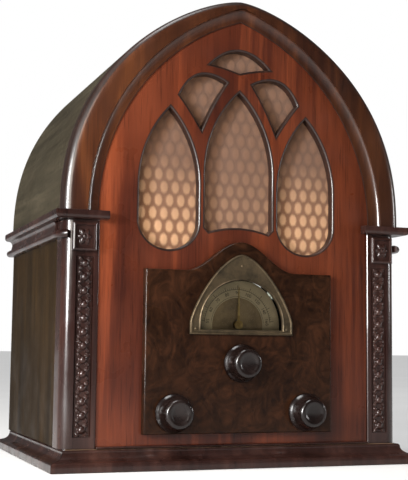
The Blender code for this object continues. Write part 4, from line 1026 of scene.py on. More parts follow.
def rosette_height(x, z):
    """A round flower in a square frame, for the capital blocks."""
    low, high = CAPITAL_LOW, CAPITAL_HIGH
    thickness = high.y - low.y
    rim = rim_distance(x, z, low, high)
    if rim < 0.0022:
        return thickness - max(0.0, 0.0014 - rim) * 0.6
    across = x - (low.x + high.x) / 2
    up = z - (low.z + high.z) / 2
    radius = math.hypot(across, up * 0.88)
    button = 0.002
    petals = 0.0072 * (0.62 + 0.38 * abs(math.cos(3 * math.atan2(up, across))))
    if radius < button:
        return thickness * (0.72 + 0.26 * math.sqrt(1 - (radius / button) ** 2))
    if radius < petals:
        return thickness * (0.55 + 0.35 * math.sin(math.pi * radius / petals) ** 0.8)
    return thickness * 0.52


def build_carvings():
    for side, sign in SIDES:
        strip = relief(FLUTE_LOW, FLUTE_HIGH, 36, 416, carving_height)
        redo(f"column_carving_{side}", "beads", mirrored(strip, sign), "dark_wood", sharp_deg=60)
        flower = relief(CAPITAL_LOW, CAPITAL_HIGH, 64, 74, rosette_height)
        redo(f"capital_block_{side}", "flower", mirrored(flower, sign), "dark_wood", sharp_deg=60)


def build_imposts():
    """The string course: a ledge with a front return over each column, and a lower bead."""
    low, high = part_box("impost_moulding_right")
    wall_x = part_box("side_panel_right")[1].x + GAP
    out = high.x - wall_x
    top = high.z
    ledge_z = top - 0.0082
    ledge = [(0.0, ledge_z), (out * 0.6, ledge_z)]
    ledge += arc((out * 0.6, ledge_z + 0.0034), (out * 0.4, 0.0034), -90, 0, 8)[1:]
    ledge += arc((out * 0.84, top - 0.0022), (out * 0.16, 0.0022), 0, 90, 6)[1:]
    ledge += [(0.0, top)]

    bead_half = 0.0036
    bead_top = IMPOST_BEAD_Z + bead_half
    bead = [(0.0, IMPOST_BEAD_Z - bead_half)]
    bead += arc((0.004, IMPOST_BEAD_Z), bead_half, -90, 90, 14) + [(0.0, bead_top)]
    hollow = [(0.0, bead_top - 0.0004), (0.003, bead_top - 0.0004)]
    hollow += arc((0.006, ledge_z - 0.0046), (0.0044, 0.0048), 180, 90, 8)
    hollow += [(0.0, ledge_z + 0.0002)]

    front_y = COLUMN_LOW.y - GAP
    corner = COLUMN_CORNER_RADIUS
    start = (wall_x, high.y)
    rounded = [start, *arc((wall_x - corner, front_y + corner), corner, 0, -60, 12)]
    core_low = (COLUMN_LOW.x, COLUMN_LOW.y - 0.001, ledge_z)
    core_high = (wall_x + 0.001, COLUMN_HIGH.y, top - 0.0001)
    for side, sign in SIDES:
        runs = [sweep(ledge, [start, (wall_x, front_y), (low.x, front_y)]), sweep(bead, rounded),
                sweep(hollow, [start, (wall_x, COLUMN_HIGH.y)]), block(core_low, core_high)]
        redo(f"impost_moulding_{side}", "run", mirrored(join(runs), sign), "dark_wood")


INNER_ARCH_REACH = (INNER_ARCH_RISE ** 2 - INNER_ARCH_HALF_SPAN ** 2) / (2 * INNER_ARCH_HALF_SPAN)


def inner_arch_point(offset, share):
    """A point on the arch's inner curve, moved outwards by offset. share runs from foot to crown."""
    radius = INNER_ARCH_HALF_SPAN + INNER_ARCH_REACH + offset
    angle = math.acos(INNER_ARCH_REACH / radius) * share
    return radius * math.cos(angle) - INNER_ARCH_REACH, SPRING_Z + radius * math.sin(angle)


def outer_arch_point(inset, share):
    """A point on the arch's outer curve on the same ray from the inner curve's centre."""
    half_span = ARCH_HALF_SPAN - inset
    rise = HEIGHT - SPRING_Z - inset
    wanted = math.atan2(rise, INNER_ARCH_REACH) * share
    low = 0.0
    high = 1.0
    for _ in range(40):
        middle = (low + high) / 2
        half = crowned_half_width(middle, half_span, ARCH_POWERS)
        if math.atan2(rise * middle, half + INNER_ARCH_REACH) < wanted:
            low = middle
        else:
            high = middle
    half = crowned_half_width(low, half_span, ARCH_POWERS)
    return (0.0 if share == 1.0 else half), SPRING_Z + rise * low


def band_section(share):
    """The arch moulding's section at one station, as (x, y, z, finish).

    It has a cove, a flat band and a rounded edge. Finish 1 paints shade, a darker wood, on the root and the
    outer edge.
    """
    section = []

    def step_to(point, y, finish):
        section.append((point[0], y, point[1], finish))

    back_y = BAND_HIGH.y
    root_y = PANEL_LOW.y - GAP
    face_y = BAND_LOW.y
    # Painted shade: the root's step in the crease takes the darker finish.
    step_to(inner_arch_point(0.0, share), root_y, 1)
    step_to(inner_arch_point(0.0, share), root_y - 0.0011, 1)
    for depth, way in arc((0, 0), 1, 0, 90, 12):
        y = root_y - 0.0012 - (root_y - face_y - 0.0012) * (1 - depth)
        step_to(inner_arch_point(EASE + BAND_COVE * way, share), y, 0)
    step_to(inner_arch_point(BAND_COVE + 0.0012, share), face_y, 0)
    # Painted shade: the outer rounding, from its fourth step on, takes the darker finish.
    for step, (depth, way) in enumerate(arc((0, 0), 1, 0, 90, 10)):
        point = outer_arch_point(BAND_EDGE_ROUND * (1 - way), share)
        step_to(point, face_y + 0.0075 * (1 - depth), 1 if step >= 4 else 0)
    step_to(outer_arch_point(0.0, share), back_y, 1)
    step_to(inner_arch_point(BAND_RABBET, share), back_y, 1)
    step_to(inner_arch_point(BAND_RABBET, share), root_y, 1)
    return section


def build_arch_moulding():
    steps = 56
    right = [band_section(step / steps) for step in range(steps + 1)]
    left = [[(-x, y, z, finish) for x, y, z, finish in section] for section in reversed(right[:-1])]
    finishes = [finish for *_, finish in right[0]]
    shape = skin([[point[:3] for point in section] for section in right + left])
    shape.faces.ensure_lookup_table()
    for i, face in enumerate(shape.faces[:len(finishes) * 2 * steps]):
        face.material_index = finishes[i % len(finishes)]
    redo("front_arch_moulding", "run", shape, "arch_wood dark_stain", sharp_deg=34)


def panel_outline():
    steps = 48
    right = [inner_arch_point(BAND_RABBET - 2 * GAP, step / steps) for step in range(steps + 1)]
    half = PANEL_HALF_WIDTH
    foot_z = PANEL_LOW.z
    return [(-half, SPRING_Z), (-half, foot_z), (half, foot_z), (half, SPRING_Z)] + both_halves(right)


def build_front():
    """The pierced front panel and the burl board laid on it."""
    holes = window_openings() + [half_moon(0.049, 0.124)] + control_holes()
    rounded = quarter_round(0.0022)
    # The window edges take the darker wood: a dark stain and painted shade along the openings.
    panel = plate(panel_outline(), holes, PANEL_LOW.y, PANEL_HIGH.y, hole_edge=rounded, hole_finish=1)
    redo("front_panel", "pierced", panel, "front_wood dark_stain", sharp_deg=40)

    low, high = OVERLAY_LOW, OVERLAY_HIGH
    outline = [(low.x, OVERLAY_SHOULDER_Z), (low.x, low.z), (high.x, low.z), (high.x, OVERLAY_SHOULDER_Z)]
    steps = 64
    for step in range(steps + 1):
        x = HOOD_HALF_WIDTH * (1 - 2 * step / steps)
        rise = HOOD_RISE * 0.5 * (1 + math.cos(math.pi * x / HOOD_HALF_WIDTH))
        outline.append((x, OVERLAY_SHOULDER_Z + rise))
    holes = [half_moon(0.046, 0.1275)] + control_holes()
    board = plate(outline, holes, low.y, high.y, edge=rounded, hole_edge=quarter_round(EASE, 3))
    redo("instrument_panel", "board", board, "burl_wood", sharp_deg=40)


def oval_relief(x, z):
    """How far the weave stands forward at a point: a low dome over each oval."""
    cell = (CLOTH_PITCH[0], 2 * CLOTH_PITCH[1])
    inside = 0.0
    for shift in OVAL_ROW_SHIFTS:
        across = ((x / cell[0] + shift) % 1.0 - 0.5) * 2 * cell[0] / OVAL_SIZE[0]
        up = ((z / cell[1] + shift) % 1.0 - 0.5) * 2 * cell[1] / OVAL_SIZE[1]
        inside = max(inside, 1.0 - across * across - up * up)
    return CLOTH_RELIEF * math.sqrt(inside)


def build_cloth():
    """Grille cloth stretched behind the windows, with its woven ovals standing slightly proud."""
    back_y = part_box("grille_cloth")[1].y
    (half_low, z_low), (_, z_shoulder), (half_top, z_top) = CLOTH_CORNERS
    rows = round((z_top - z_low) / CLOTH_STEP)
    columns = round(2 * half_low / CLOTH_STEP)

    def place_at(column, row):
        z = z_low + (z_top - z_low) * row / rows
        taper = max(0.0, (z - z_shoulder) / (z_top - z_shoulder))
        half = half_low + (half_top - half_low) * taper
        x = half * (2 * column / columns - 1)
        return x, back_y - 0.0002 - oval_relief(x, z), z

    shape = bmesh.new()
    sheet_of(shape, columns, rows, place_at)
    cloth = redo("grille_cloth", "woven", shape, "grille_fabric", sharp_deg=180)


# ---- Dial and knobs --------------------------------------------------------
def build_escutcheon():
    """Pressed bronze: a raised outer bead, a sunk field and a raised rim round the window."""
    low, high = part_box("escutcheon")
    foot_z, spring_z, top_z = ESCUTCHEON_Z
    half = ESCUTCHEON_HALF_WIDTH
    outline = crowned_arch(half, spring_z, top_z, ESCUTCHEON_POWERS, 48) + [(-half, foot_z), (half, foot_z)]
    bead = mm((2.6, 1.0), (2.2, 0.9), (1.9, 0.3), (1.5, 0), (1.0, 0), (0.5, 0.3), (0.1, 0.9), (0, 1.6))
    rim = mm((2.1, 1.0), (1.8, 0.9), (1.5, 0.2), (1.1, 0), (0.6, 0.4), (0, 1.8))
    shapes = [plate(outline, [half_moon(DIAL_WINDOW_RADIUS, DIAL_WINDOW_FOOT)], low.y, high.y, bead, rim)]
    pin = mm((0, 0.4), (0.9, 0.5), (1.4, 0.9), (1.5, 1.3), (0, 1.3))
    for x, z in ((0.0, 0.1925), (-0.0475, 0.1315), (0.0475, 0.1315)):
        shapes.append(lathe(pin, (x, low.y, z), segments=20))
    redo("escutcheon", "pressed", join(shapes), "escutcheon_bronze", sharp_deg=50)


def arc_band(inner, outer, start_deg, end_deg, y_front, y_back):
    """A flat curved strip about the dial's centre. Angles run counter-clockwise from +X."""
    outside = arc(DIAL_AXIS, outer, start_deg, end_deg, 60)
    inside = arc(DIAL_AXIS, inner, end_deg, start_deg, 60)
    return plate(outside + inside, [], y_front, y_back)


def dial_number(text, angle_deg, radius, size, y_front):
    """One printed number on the scale, leaning with its ray and read from the front."""
    curve = bpy.data.curves.new("number", "FONT")
    curve.body = text
    curve.size = size
    curve.align_x = "CENTER"
    curve.align_y = "CENTER"
    curve.extrude = 0.00004
    curve.resolution_u = 3
    loose = bpy.data.objects.new("number", curve)
    mesh = bpy.data.meshes.new_from_object(loose)
    shape = bmesh.new()
    shape.from_mesh(mesh)
    bpy.data.objects.remove(loose)
    bpy.data.meshes.remove(mesh)
    bpy.data.curves.remove(curve)
    angle = math.radians(angle_deg)
    stand = Matrix.Rotation(math.radians(90), 4, "X")
    lean = Matrix.Rotation(angle - math.pi / 2, 4, "Z")
    place = Matrix.Translation((radius * math.cos(angle), y_front, DIAL_Z + radius * math.sin(angle)))
    bmesh.ops.transform(shape, matrix=place @ stand @ lean, verts=shape.verts)
    return shape


def dial_tick(angle_deg, inner, outer, half_width, y_front, y_back):
    angle = math.radians(angle_deg)
    along = Vector((math.cos(angle), math.sin(angle)))
    side = Vector((-along.y, along.x)) * half_width
    corners = [along * inner + side, along * inner - side, along * outer - side, along * outer + side]
    return plate([(corner.x, DIAL_Z + corner.y) for corner in corners], [], y_front, y_back)


def build_dial_card():
    """The scale card with its printed arcs, ticks and numbers, and the plate at its centre."""
    low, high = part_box("dial_plate")
    face_y = low.y
    hole = [circle(*DIAL_AXIS, PANEL_HOLE_RADIUS)]
    redo("dial_plate", "card", plate(half_moon(high.x, low.z), hole, face_y, high.y), "dial_card")
    small_moon = [(x * 0.6, DIAL_Z + (z - DIAL_Z) * 0.6) for x, z in half_moon(0.044, 0.124)]
    centre = plate(small_moon, hole, face_y - EASE, face_y - 0.0001, edge=quarter_round(0.0003, 3))
    add("dial_centre_plate", centre, "dial_centre")

    ink = (face_y - 0.00012, face_y - 0.00002)
    ring = (0.0345, 0.0349)
    marks = [arc_band(0.0275, 0.0278, 4, 176, *ink), arc_band(*ring, 4, 176, *ink)]
    ticks = 48
    for tick in range(ticks + 1):
        outer, half_width = (0.0366, 0.00012) if tick % 6 else (0.0385, 0.00022)
        marks.append(dial_tick(6 + 168 * tick / ticks, ring[1], outer, half_width, *ink))
    for i, text in enumerate("55 60 70 80 90 100 120 140 160".split()):
        marks.append(dial_number(text, 174 - 21 * i, 0.0312, 0.0046, face_y - 0.00008))
    add("dial_markings", join(marks), "dial_ink")


def build_dial_glass_and_pointer():
    low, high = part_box("dial_window")
    glass = plate(half_moon(high.x, low.z), [], low.y, high.y, edge=quarter_round(0.0003, 3))
    redo("dial_window", "glass", glass, "dial_glass")

    low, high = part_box("dial_pointer")
    length = high.z - DIAL_Z
    right = [(0.0012, 0.0043), (0.0009, length * 0.6), (0.00025, length)]
    hand = [(-x, DIAL_Z + z) for x, z in right] + [(x, DIAL_Z + z) for x, z in reversed(right)]
    hand += arc(DIAL_AXIS, 0.0045, 74, -254, 40)[1:-1]
    pointer = plate(hand, [], low.y + 0.0002, high.y, edge=((0.00008, 0.0), (0.0, 0.00008)))
    back = high.y - low.y - 0.0001
    profile = [(0, 0), (0.002, 0), (0.0024, 0.0003), (0.0024, back), (0, back)]
    cap = lathe(profile, (0, low.y, DIAL_Z), segments=32)
    redo("dial_pointer", "hand", join([pointer, cap]), "brass", "dial_rotor")


def build_knobs():
    """Turned bakelite knobs: a fluted grip that flares into a skirt, and a dished face in a rim."""
    front = mm((0, 1.6), (3.0, 1.5), (6.2, 1.3), (7.8, 1.0), (8.6, 0.4), (9.8, 0.1), (11.2, 0), (12.3, 0.3),
               (13.1, 0.9), (13.7, 1.8), (14.1, 2.8), (14.3, 3.6, 1.0), (14.6, 7.0, 1.0), (14.8, 10.6, 1.0),
               (15.0, 12.0), (15.4, 13.6), (16.1, 15.0), (17.0, 16.1), (17.9, 17.0))
    bore = 0.0033
    for name, (x, z) in CONTROLS.items():
        low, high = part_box(f"{name}_knob")
        radius = high.x - x
        back = high.y - low.y
        bore_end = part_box(f"{name}_shaft")[0].y - GAP - low.y
        skirt = [(radius - 0.0001, 0.0178), (radius, 0.0184), (radius, back - 0.0005),
                 (radius - 0.0005, back)]
        profile = front + skirt + [(bore, back), (bore, bore_end), (0, bore_end)]
        knob = lathe(profile, (x, low.y, z), segments=144, flutes=24, flute_depth=0.0005)
        redo(f"{name}_knob", "turned", knob, "bakelite", name, sharp_deg=40)


# ---- Chassis and what stands on it -----------------------------------------
def hexagon(x, z, radius):
    return circle(x, z, radius, segments=6)


def screw_head(x, y, z, radius):
    """A round-headed screw that stands on a plane facing +Y."""
    profile = [(0, 0), (radius, 0), (radius, 0.0004), (radius * 0.8, 0.0011), (radius * 0.4, 0.0014),
               (0, 0.0015)]
    return lathe(profile, (x, y, z), segments=16)


def deck_screw(x, y, z=DECK_Z):
    return lathe(mm((0, 0), (2.6, 0), (2.6, 0.4), (1.95, 1.1), (0, 1.4)), (x, y, z), "Z", 14)


def tube_outline(base_radius, bulb_radius, height, shrink=0.0):
    """(radius, height) points of a balloon-shaped bulb from the top of its base to its crown."""
    neck = base_radius - 0.001
    foot = TUBE_BASE_HEIGHT + 0.0005
    crown_share = 0.694
    steps = 36
    points = []
    for step in range(steps):
        share = step / steps
        if share <= crown_share:
            swell = math.sin(math.pi * min(share * 0.72, 0.5)) ** 0.9
            radius = neck + (bulb_radius - neck) * swell
        else:
            radius = bulb_radius * math.sqrt(1 - ((share - crown_share) / (1 - crown_share)) ** 2)
        points.append((max(radius - shrink, 0.0006), foot + (height - shrink - foot) * share))
    return points + [(0, height - shrink)]


def tube_base(place, radius):
    """Moulded base with a bottom rim and a waist line."""
    top = TUBE_BASE_HEIGHT
    waist = radius - 0.0005
    profile = [(0, 0.0004), (radius - 0.0008, 0.0004), (radius, 0.0014), (radius, 0.0042), (waist, 0.0048),
               (waist, 0.0215), (radius, 0.0222), (radius, top - 0.0008), (radius - 0.0007, top), (0, top)]
    return lathe(profile, place, "Z", 48)


def tube_plates(x, y, low_z, high_z):
    """The ribbed anode and its two support rods."""
    plate_low = low_z + 0.016
    height = high_z - plate_low
    size_x = 2 * ANODE_HALF_X
    size_y = 2 * ANODE_HALF_Y
    rib_height = 0.0012
    shapes = [block_about((x, y, (plate_low + high_z) / 2), (size_x, size_y, height), 0.0012)]
    ribs = 4
    for rib in range(1, ribs):
        middle = (x, y, plate_low + height * rib / ribs + rib_height / 2)
        shapes.append(block_about(middle, (size_x + 2 * EASE, size_y + 2 * EASE, rib_height), 0.0003))
    for offset in (-ANODE_HALF_X - 0.0014, ANODE_HALF_X + 0.0014):
        shapes.append(rod(0.0006, (x + offset, y, low_z), high_z + 0.004 - low_z, 0.0001, "Z", 8))
    return shapes


def tube_spacers(x, y, low_z, high_z):
    """The mica discs at both ends of the anode and the glass press that carries it."""
    radius = ANODE_HALF_X + 0.003
    disc = [(0, 0), (radius, 0), (radius, 0.0007), (0, 0.0007)]
    spacers = [lathe(disc, (x, y, z), "Z", 28) for z in (low_z + 0.0148, high_z + 0.0004)]
    return spacers + [block_about((x, y, low_z + 0.006), (0.012, 0.0044, 0.012), 0.0015)]


def build_glass_tubes():
    """Three glass tubes with their works inside."""
    for name, (base_radius, bulb_radius) in TUBE_RADII.items():
        low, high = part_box(name)
        place = on_deck(name)
        height = high.z - low.z
        outside = tube_outline(base_radius, bulb_radius, height)
        inside = tube_outline(base_radius, bulb_radius, height, shrink=0.0009)
        redo(name, "bulb", lathe(inside[::-1] + outside, place, "Z", 56), "tube_glass")
        works = (*place[:2], DECK_Z + TUBE_BASE_HEIGHT + 0.001, DECK_Z + height * 0.74)
        parts = assembled(bakelite=[tube_base(place, base_radius)], plate_metal=tube_plates(*works),
                          mica=tube_spacers(*works))
        add(f"{name}_works", *parts)


def can_bead(radius, height):
    """(radius, height) points in millimetres of a bead rolled into a can's wall."""
    crest = radius + 0.4
    return [(radius, height), (crest, height + 0.8), (crest, height + 2.2), (radius, height + 3)]


def build_shielded_tubes():
    """Spun shields, and the tubes in them, whose caps stand through the shields' tops."""
    outside = mm((19.2, 0), (19.8, 0.6), (19.8, 11.2), (19.4, 12.2), (18.6, 13.5), *can_bead(18.6, 24),
                 *can_bead(18.6, 56), (18.6, 70.0), (18.2, 73.0), (17.4, 76.8), (16.0, 81.2), (13.8, 84.8),
                 (10.4, 87.6), (7.4, 89.4), (7.0, 89.8))
    wall = 0.0006
    inside = [(radius - wall, max(height - wall, 0.0)) for radius, height in outside[:-1]]
    cap = mm((0, 87.0), (5.2, 87.0), (4.6, 88.2), (4.6, 93.0), (4.0, 94.2), (0, 94.4))
    tube = mm((0, 0.4), (15.0, 0.4), (15.5, 1.2), (15.5, 26.0), (14.5, 26.8), (16.2, 42.0), (16.5, 56.0),
              (15.0, 70.0), (11.0, 80.0), (5.6, 85.2), (5.2, 87.0), (0, 87.0))
    for number in (1, 2, 3):
        place = on_deck(f"tube_shield_{number}")
        shield = lathe(outside + mm((6.6, 89.2)) + inside[::-1], place, "Z", 64, loop=True)
        redo(f"tube_shield_{number}", "spun", shield, "aluminium")
        hidden = assembled(brass=[lathe(cap, place, "Z", 28)], bakelite=[lathe(tube, place, "Z", 36)])
        add(f"shielded_tube_{number}", *hidden)


def build_cans():
    """Coil cans with beaded feet and fixing nuts, and the filter condenser in its clamp."""
    can = mm((0, 0.2), (20.5, 0.2), (20.5, 3.0), (19.9, 4.0), *can_bead(19.9, 52), (19.8, 59.5), (19.2, 61.5),
             (17.8, 62.9), (16.0, 63.2), (15.0, 62.4), (4.0, 62.2), (0, 62.2))
    nut = mm((0, 62.2), (2.6, 62.2), (2.6, 63.1), (1.4, 63.2), (0, 63.2))
    for number in (1, 2, 3):
        x, y, z = on_deck(f"coil_can_{number}")
        nuts = [lathe(nut, (x, y + offset, z), "Z", 6) for offset in (-0.008, 0.008)]
        redo(f"coil_can_{number}", "drawn", *assembled(aluminium=[lathe(can, (x, y, z), "Z")], brass=nuts))

    profile = mm((0, 0.2), (18.5, 0.2), (18.5, 3.6), (17.8, 4.6), (17.5, 5.6), (17.5, 18.0), (17.0, 18.8),
                 (17.0, 19.6), (17.5, 20.4), (17.5, 76.0), (17.0, 76.8), (17.0, 77.6), (17.5, 78.4),
                 (17.5, 83.8), (17.0, 85.1), (16.0, 85.4), (15.0, 84.4), (4.0, 84.2), (3.6, 85.1), (0, 85.2))
    clamp = mm((17.8, 26.2), (18.4, 26.4), (18.4, 33.6), (17.8, 33.8))
    x, y, z = on_deck("filter_condenser")
    ear = block((x + 0.0178, y - 0.0014, z + 0.0264), (x + 0.025, y + 0.0014, z + 0.0336), 0.0004)
    clamp_ring = lathe(clamp, (x, y, z), "Z", loop=True)
    parts = assembled(aluminium=[lathe(profile, (x, y, z), "Z")], bright_steel=[clamp_ring, ear])
    redo("filter_condenser", "can", *parts)


def build_power_transformer():
    """A lamination stack between pressed bell covers, drawn together by four bolts."""
    low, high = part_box("power_transformer")
    core_y = (0.044, 0.074)
    nut_depth = 0.0022
    core = block((low.x, core_y[0], DECK_Z), (high.x, core_y[1], DECK_Z + 0.062), EASE)
    bells = []
    for y_front, y_back in ((low.y, core_y[0] - 0.0001), (core_y[1] + 0.0001, high.y)):
        bells.append(block((0.07, y_front, DECK_Z + 0.005), (0.119, y_back, DECK_Z + 0.057), 0.0042))
    nuts = []
    for x in (0.0685, 0.1205):
        for z in (DECK_Z + 0.004, DECK_Z + 0.058):
            for y in (core_y[0] - nut_depth, core_y[1]):
                nuts.append(plate(hexagon(x, z, 0.003), [], y, y + nut_depth))
    redo("power_transformer", "stack", *assembled(laminations=[core], black_paint=bells, bright_steel=nuts))


def build_output_transformer():
    low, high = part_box("output_transformer")
    core_back = low.y + 0.016
    core = block(low, (high.x, core_back, high.z), 0.0005)
    winding = block((0.091, core_back + 0.0001, 0.209), (0.112, high.y, 0.231), 0.003)
    margin = 0.0032
    screws = []
    for x in (low.x + margin, high.x - margin):
        for z in (low.z + margin, high.z - margin):
            screws.append(screw_head(x, core_back, z, 0.002))
    parts = assembled(laminations=[core], wax_paper=[winding], bright_steel=screws)
    redo("output_transformer", "stack", *parts)


def build_deck_fittings():
    """Tube sockets, screws and a paper capacitor on the deck."""
    sockets = []
    bore = 0.0178
    for name, radius in (("rectifier_tube", 0.0215), ("output_tube", 0.0215), ("audio_tube", 0.0195)):
        ring = [(bore, 0), (radius, 0), (radius, 0.001), (radius - EASE, 0.0015), (bore, 0.0015)]
        sockets.append(lathe(ring, on_deck(name), "Z", 40, loop=True))
    places = mm((-120, -90), (120, -90), (-120, 86), (50, 86), (0, 86), (-85, 86.5), (60, -90),
                (-83.5, -32), (-83.5, 27), (55.5, -35), (55.5, 20))
    screws = [deck_screw(x, y) for x, y in places]
    capacitor = block((0.04, -0.084, DECK_Z), (0.064, -0.07, DECK_Z + 0.01), 0.0008)
    add("deck_fittings", *assembled(bakelite=sockets, bright_steel=screws, wax_paper=[capacitor]))


def build_rear_fittings():
    """The aerial and earth terminals and the cord grommet."""
    low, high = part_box("terminal_strip")
    strip = block(low, (high.x, low.y + 0.003, high.z), 0.0007)
    depth = high.y - low.y
    post = mm((0, 3.1), (4.4, 3.1), (4.8, 3.5, 1.0), (4.8, 6.2, 1.0), (4.2, 6.7), (2.2, 6.8))
    post += [(0.0022, depth - 0.0003), (0.0019, depth), (0, depth)]
    turned = [screw_head(-0.06, low.y + 0.003, TERMINAL_Z, 0.0022)]
    for x in (-0.072, -0.048):
        turned.append(lathe(post, (x, low.y, TERMINAL_Z), segments=72, flutes=18, flute_depth=0.0004))
    redo("terminal_strip", "posts", *assembled(bakelite=[strip], brass=turned))

    low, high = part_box("cord_grommet")
    middle = middle_of("cord_grommet")
    half = (high.y - low.y) / 2
    near = mm((4.6, 0.4), (5.4, 0), (8.0, 0), (9.0, 0.8), (9.2, 2.0), (8.6, 2.2), (7.0, 2.2))
    front = [(radius, height - half) for radius, height in near]
    back = [(radius, -height) for radius, height in reversed(front)]
    grommet = lathe(front + back + [(0.0042, 0)], middle, segments=48, loop=True)
    redo("cord_grommet", "moulded", grommet, "black_rubber")


def build_screws():
    """The chassis bolts under the case, and the screws of the chassis and of the loudspeaker's baffle."""
    head = mm((0, 0), (4.6, 0), (5.2, 0.4), (5.4, 1.0), (5.4, 3.5), (2.0, 3.5))
    for number in range(1, 5):
        node = f"chassis_bolt_{number}"
        low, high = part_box(node)
        length = high.z - low.z
        profile = head + [(0.002, length - 0.0004), (0.0016, length), (0, length)]
        redo(node, "turned", lathe(profile, (*middle_of(node)[:2], low.z), "Z", 32), "bright_steel")

    back_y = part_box("speaker_baffle")[1].y
    screws = []
    for x, z in mm((-110, 30), (-110, 68), (30, 30), (30, 68), (115, 30), (115, 68)):
        screws.append(screw_head(x, CHASSIS_REAR_Y, z, 0.0026))
    for x, z in mm((-112, 212), (-112, 325), (112, 212), (112, 325), (-44, 408), (44, 408)):
        screws.append(screw_head(x, back_y, z, 0.0036))
    add("case_screws", join(screws), "brass")


def build_glue_blocks():
    """Three-sided blocks glued into the corners between the sides and the bottom board."""
    corner_x = 0.1655
    foot_z = 0.0196
    leg = 0.018
    length = 0.026
    section = [(corner_x, foot_z), (corner_x - leg, foot_z), (corner_x, foot_z + leg)]
    blocks = []
    for sign in (-1, 1):
        for y in (-0.075, 0.02, 0.105):
            blocks.append(skin([[(sign * x, y + step, z) for x, z in section] for step in (0.0, length)]))
    add("glue_blocks", join(blocks), "board_wood")


# ---- Loudspeaker -----------------------------------------------------------
def cut(shape, tool_shape):
    """Take a closed tool shape out of a shape."""
    def loose(made):
        mesh = bpy.data.meshes.new("loose")
        bmesh.ops.recalc_face_normals(made, faces=made.faces)
        made.to_mesh(mesh)
        made.free()
        piece = bpy.data.objects.new("loose", mesh)
        bpy.context.scene.collection.objects.link(piece)
        return piece

    body = loose(shape)
    tool = loose(tool_shape)
    modifier = body.modifiers.new("cut", "BOOLEAN")
    modifier.operation = "DIFFERENCE"
    modifier.solver = "EXACT"
    modifier.use_self = True
    modifier.object = tool
    bpy.context.view_layer.update()
    baked = bpy.data.meshes.new_from_object(body.evaluated_get(bpy.context.evaluated_depsgraph_get()))
    result = bmesh.new()
    result.from_mesh(baked)
    for piece in (body, tool):
        mesh = piece.data
        bpy.data.objects.remove(piece)
        bpy.data.meshes.remove(mesh)
    bpy.data.meshes.remove(baked)
    return painted(result, 0)


def build_speaker_basket():
    """Pressed basket with four windows and eight bolts in its rim."""
    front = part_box("speaker_basket")[0].y
    centre = (0, front, SPEAKER_AXIS_Z)
    profile = mm((96.0, 0), (96.0, 1.5), (88.0, 1.5), (86.2, 2.2), (84.5, 4.0), (44.0, 43.0), (39.2, 47.8),
                 (37.5, 49.0), (20.0, 49.0), (20.0, 47.5), (36.8, 47.5), (43.0, 42.0), (84.5, 1.4), (85.0, 0))
    basket = lathe(profile, centre, segments=96, loop=True)
    window_middle = (0, front + 0.0245, SPEAKER_AXIS_Z)
    for size in ((0.2, 0.033, 0.044), (0.044, 0.033, 0.2)):
        basket = cut(basket, block_about(window_middle, size, 0.004))
    bolt_places = circle(0.0, SPEAKER_AXIS_Z, 0.0912, 8, start_deg=22.5)
    bolts = [screw_head(x, front + 0.0015, z, 0.003) for x, z in bolt_places]
    redo("speaker_basket", "pressed", *assembled(black_paint=[basket], bright_steel=bolts))


def build_speaker_cone():
    """Paper cone with a rippled surround, and its voice coil."""
    centre = (0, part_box("speaker_basket")[0].y, SPEAKER_AXIS_Z)
    ripples = 4
    steps = ripples * 8
    surround = []
    for step in range(steps + 1):
        share = step / steps
        ripple = 0.0006 * math.sin(2 * math.pi * ripples * share)
        surround.append((0.069 + 0.0102 * share, 0.0078 - 0.005 * share + ripple))
    profile = mm((0, 35.4), (4.0, 35.6), (10.0, 36.9)) + surround
    profile += [(radius, y + 0.0005) for radius, y in reversed(surround)]
    profile += mm((14.0, 41.2), (13.8, 42.0), (13.3, 52.8), (12.5, 53.0), (12.5, 39.5), (9.0, 37.5), (0, 36))
    coil = washer(0.0134, 0.0138, 0.05, 0.0526, centre, segments=48)
    parts = assembled(cone_paper=[lathe(profile, centre, segments=96)], copper_winding=[coil])
    redo("speaker_cone", "paper", *parts, "cone")


def build_field_coil():
    """The field coil's pot with its nut, and a strip of soldering tags."""
    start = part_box("speaker_field_coil")[0].y
    z = SPEAKER_AXIS_Z
    pot = mm((0, 0), (11.2, 0), (11.2, 10.0), (14.8, 10.0), (14.8, 0), (33.0, 0), (34.0, 0.8), (34.0, 5.2),
             (33.0, 6.0), (32.2, 6.2), (32.2, 40.0), (33.0, 40.2), (34.0, 41.0), (34.0, 49.0), (33.4, 51.4),
             (31.2, 53.4), (29.0, 53.8), (8.0, 53.8), (0, 53.8))
    nut = plate(hexagon(0.0, z, 0.0058), [], start + 0.0538, start + 0.054)
    strip = block((-0.012, start + 0.015, z - 0.0375), (0.012, start + 0.029, z - 0.0321), 0.0004)
    tags = []
    for x in (-0.0075, 0.0, 0.0075):
        tags.append(block_about((x, start + 0.0184, z - 0.0397), (0.0024, 0.0008, 0.0046), 0.0002))
    parts = assembled(black_paint=[lathe(pot, (0, start, z), segments=72)], bright_steel=[nut],
                      wax_paper=[strip], brass=tags)
    redo("speaker_field_coil", "pot", *parts)


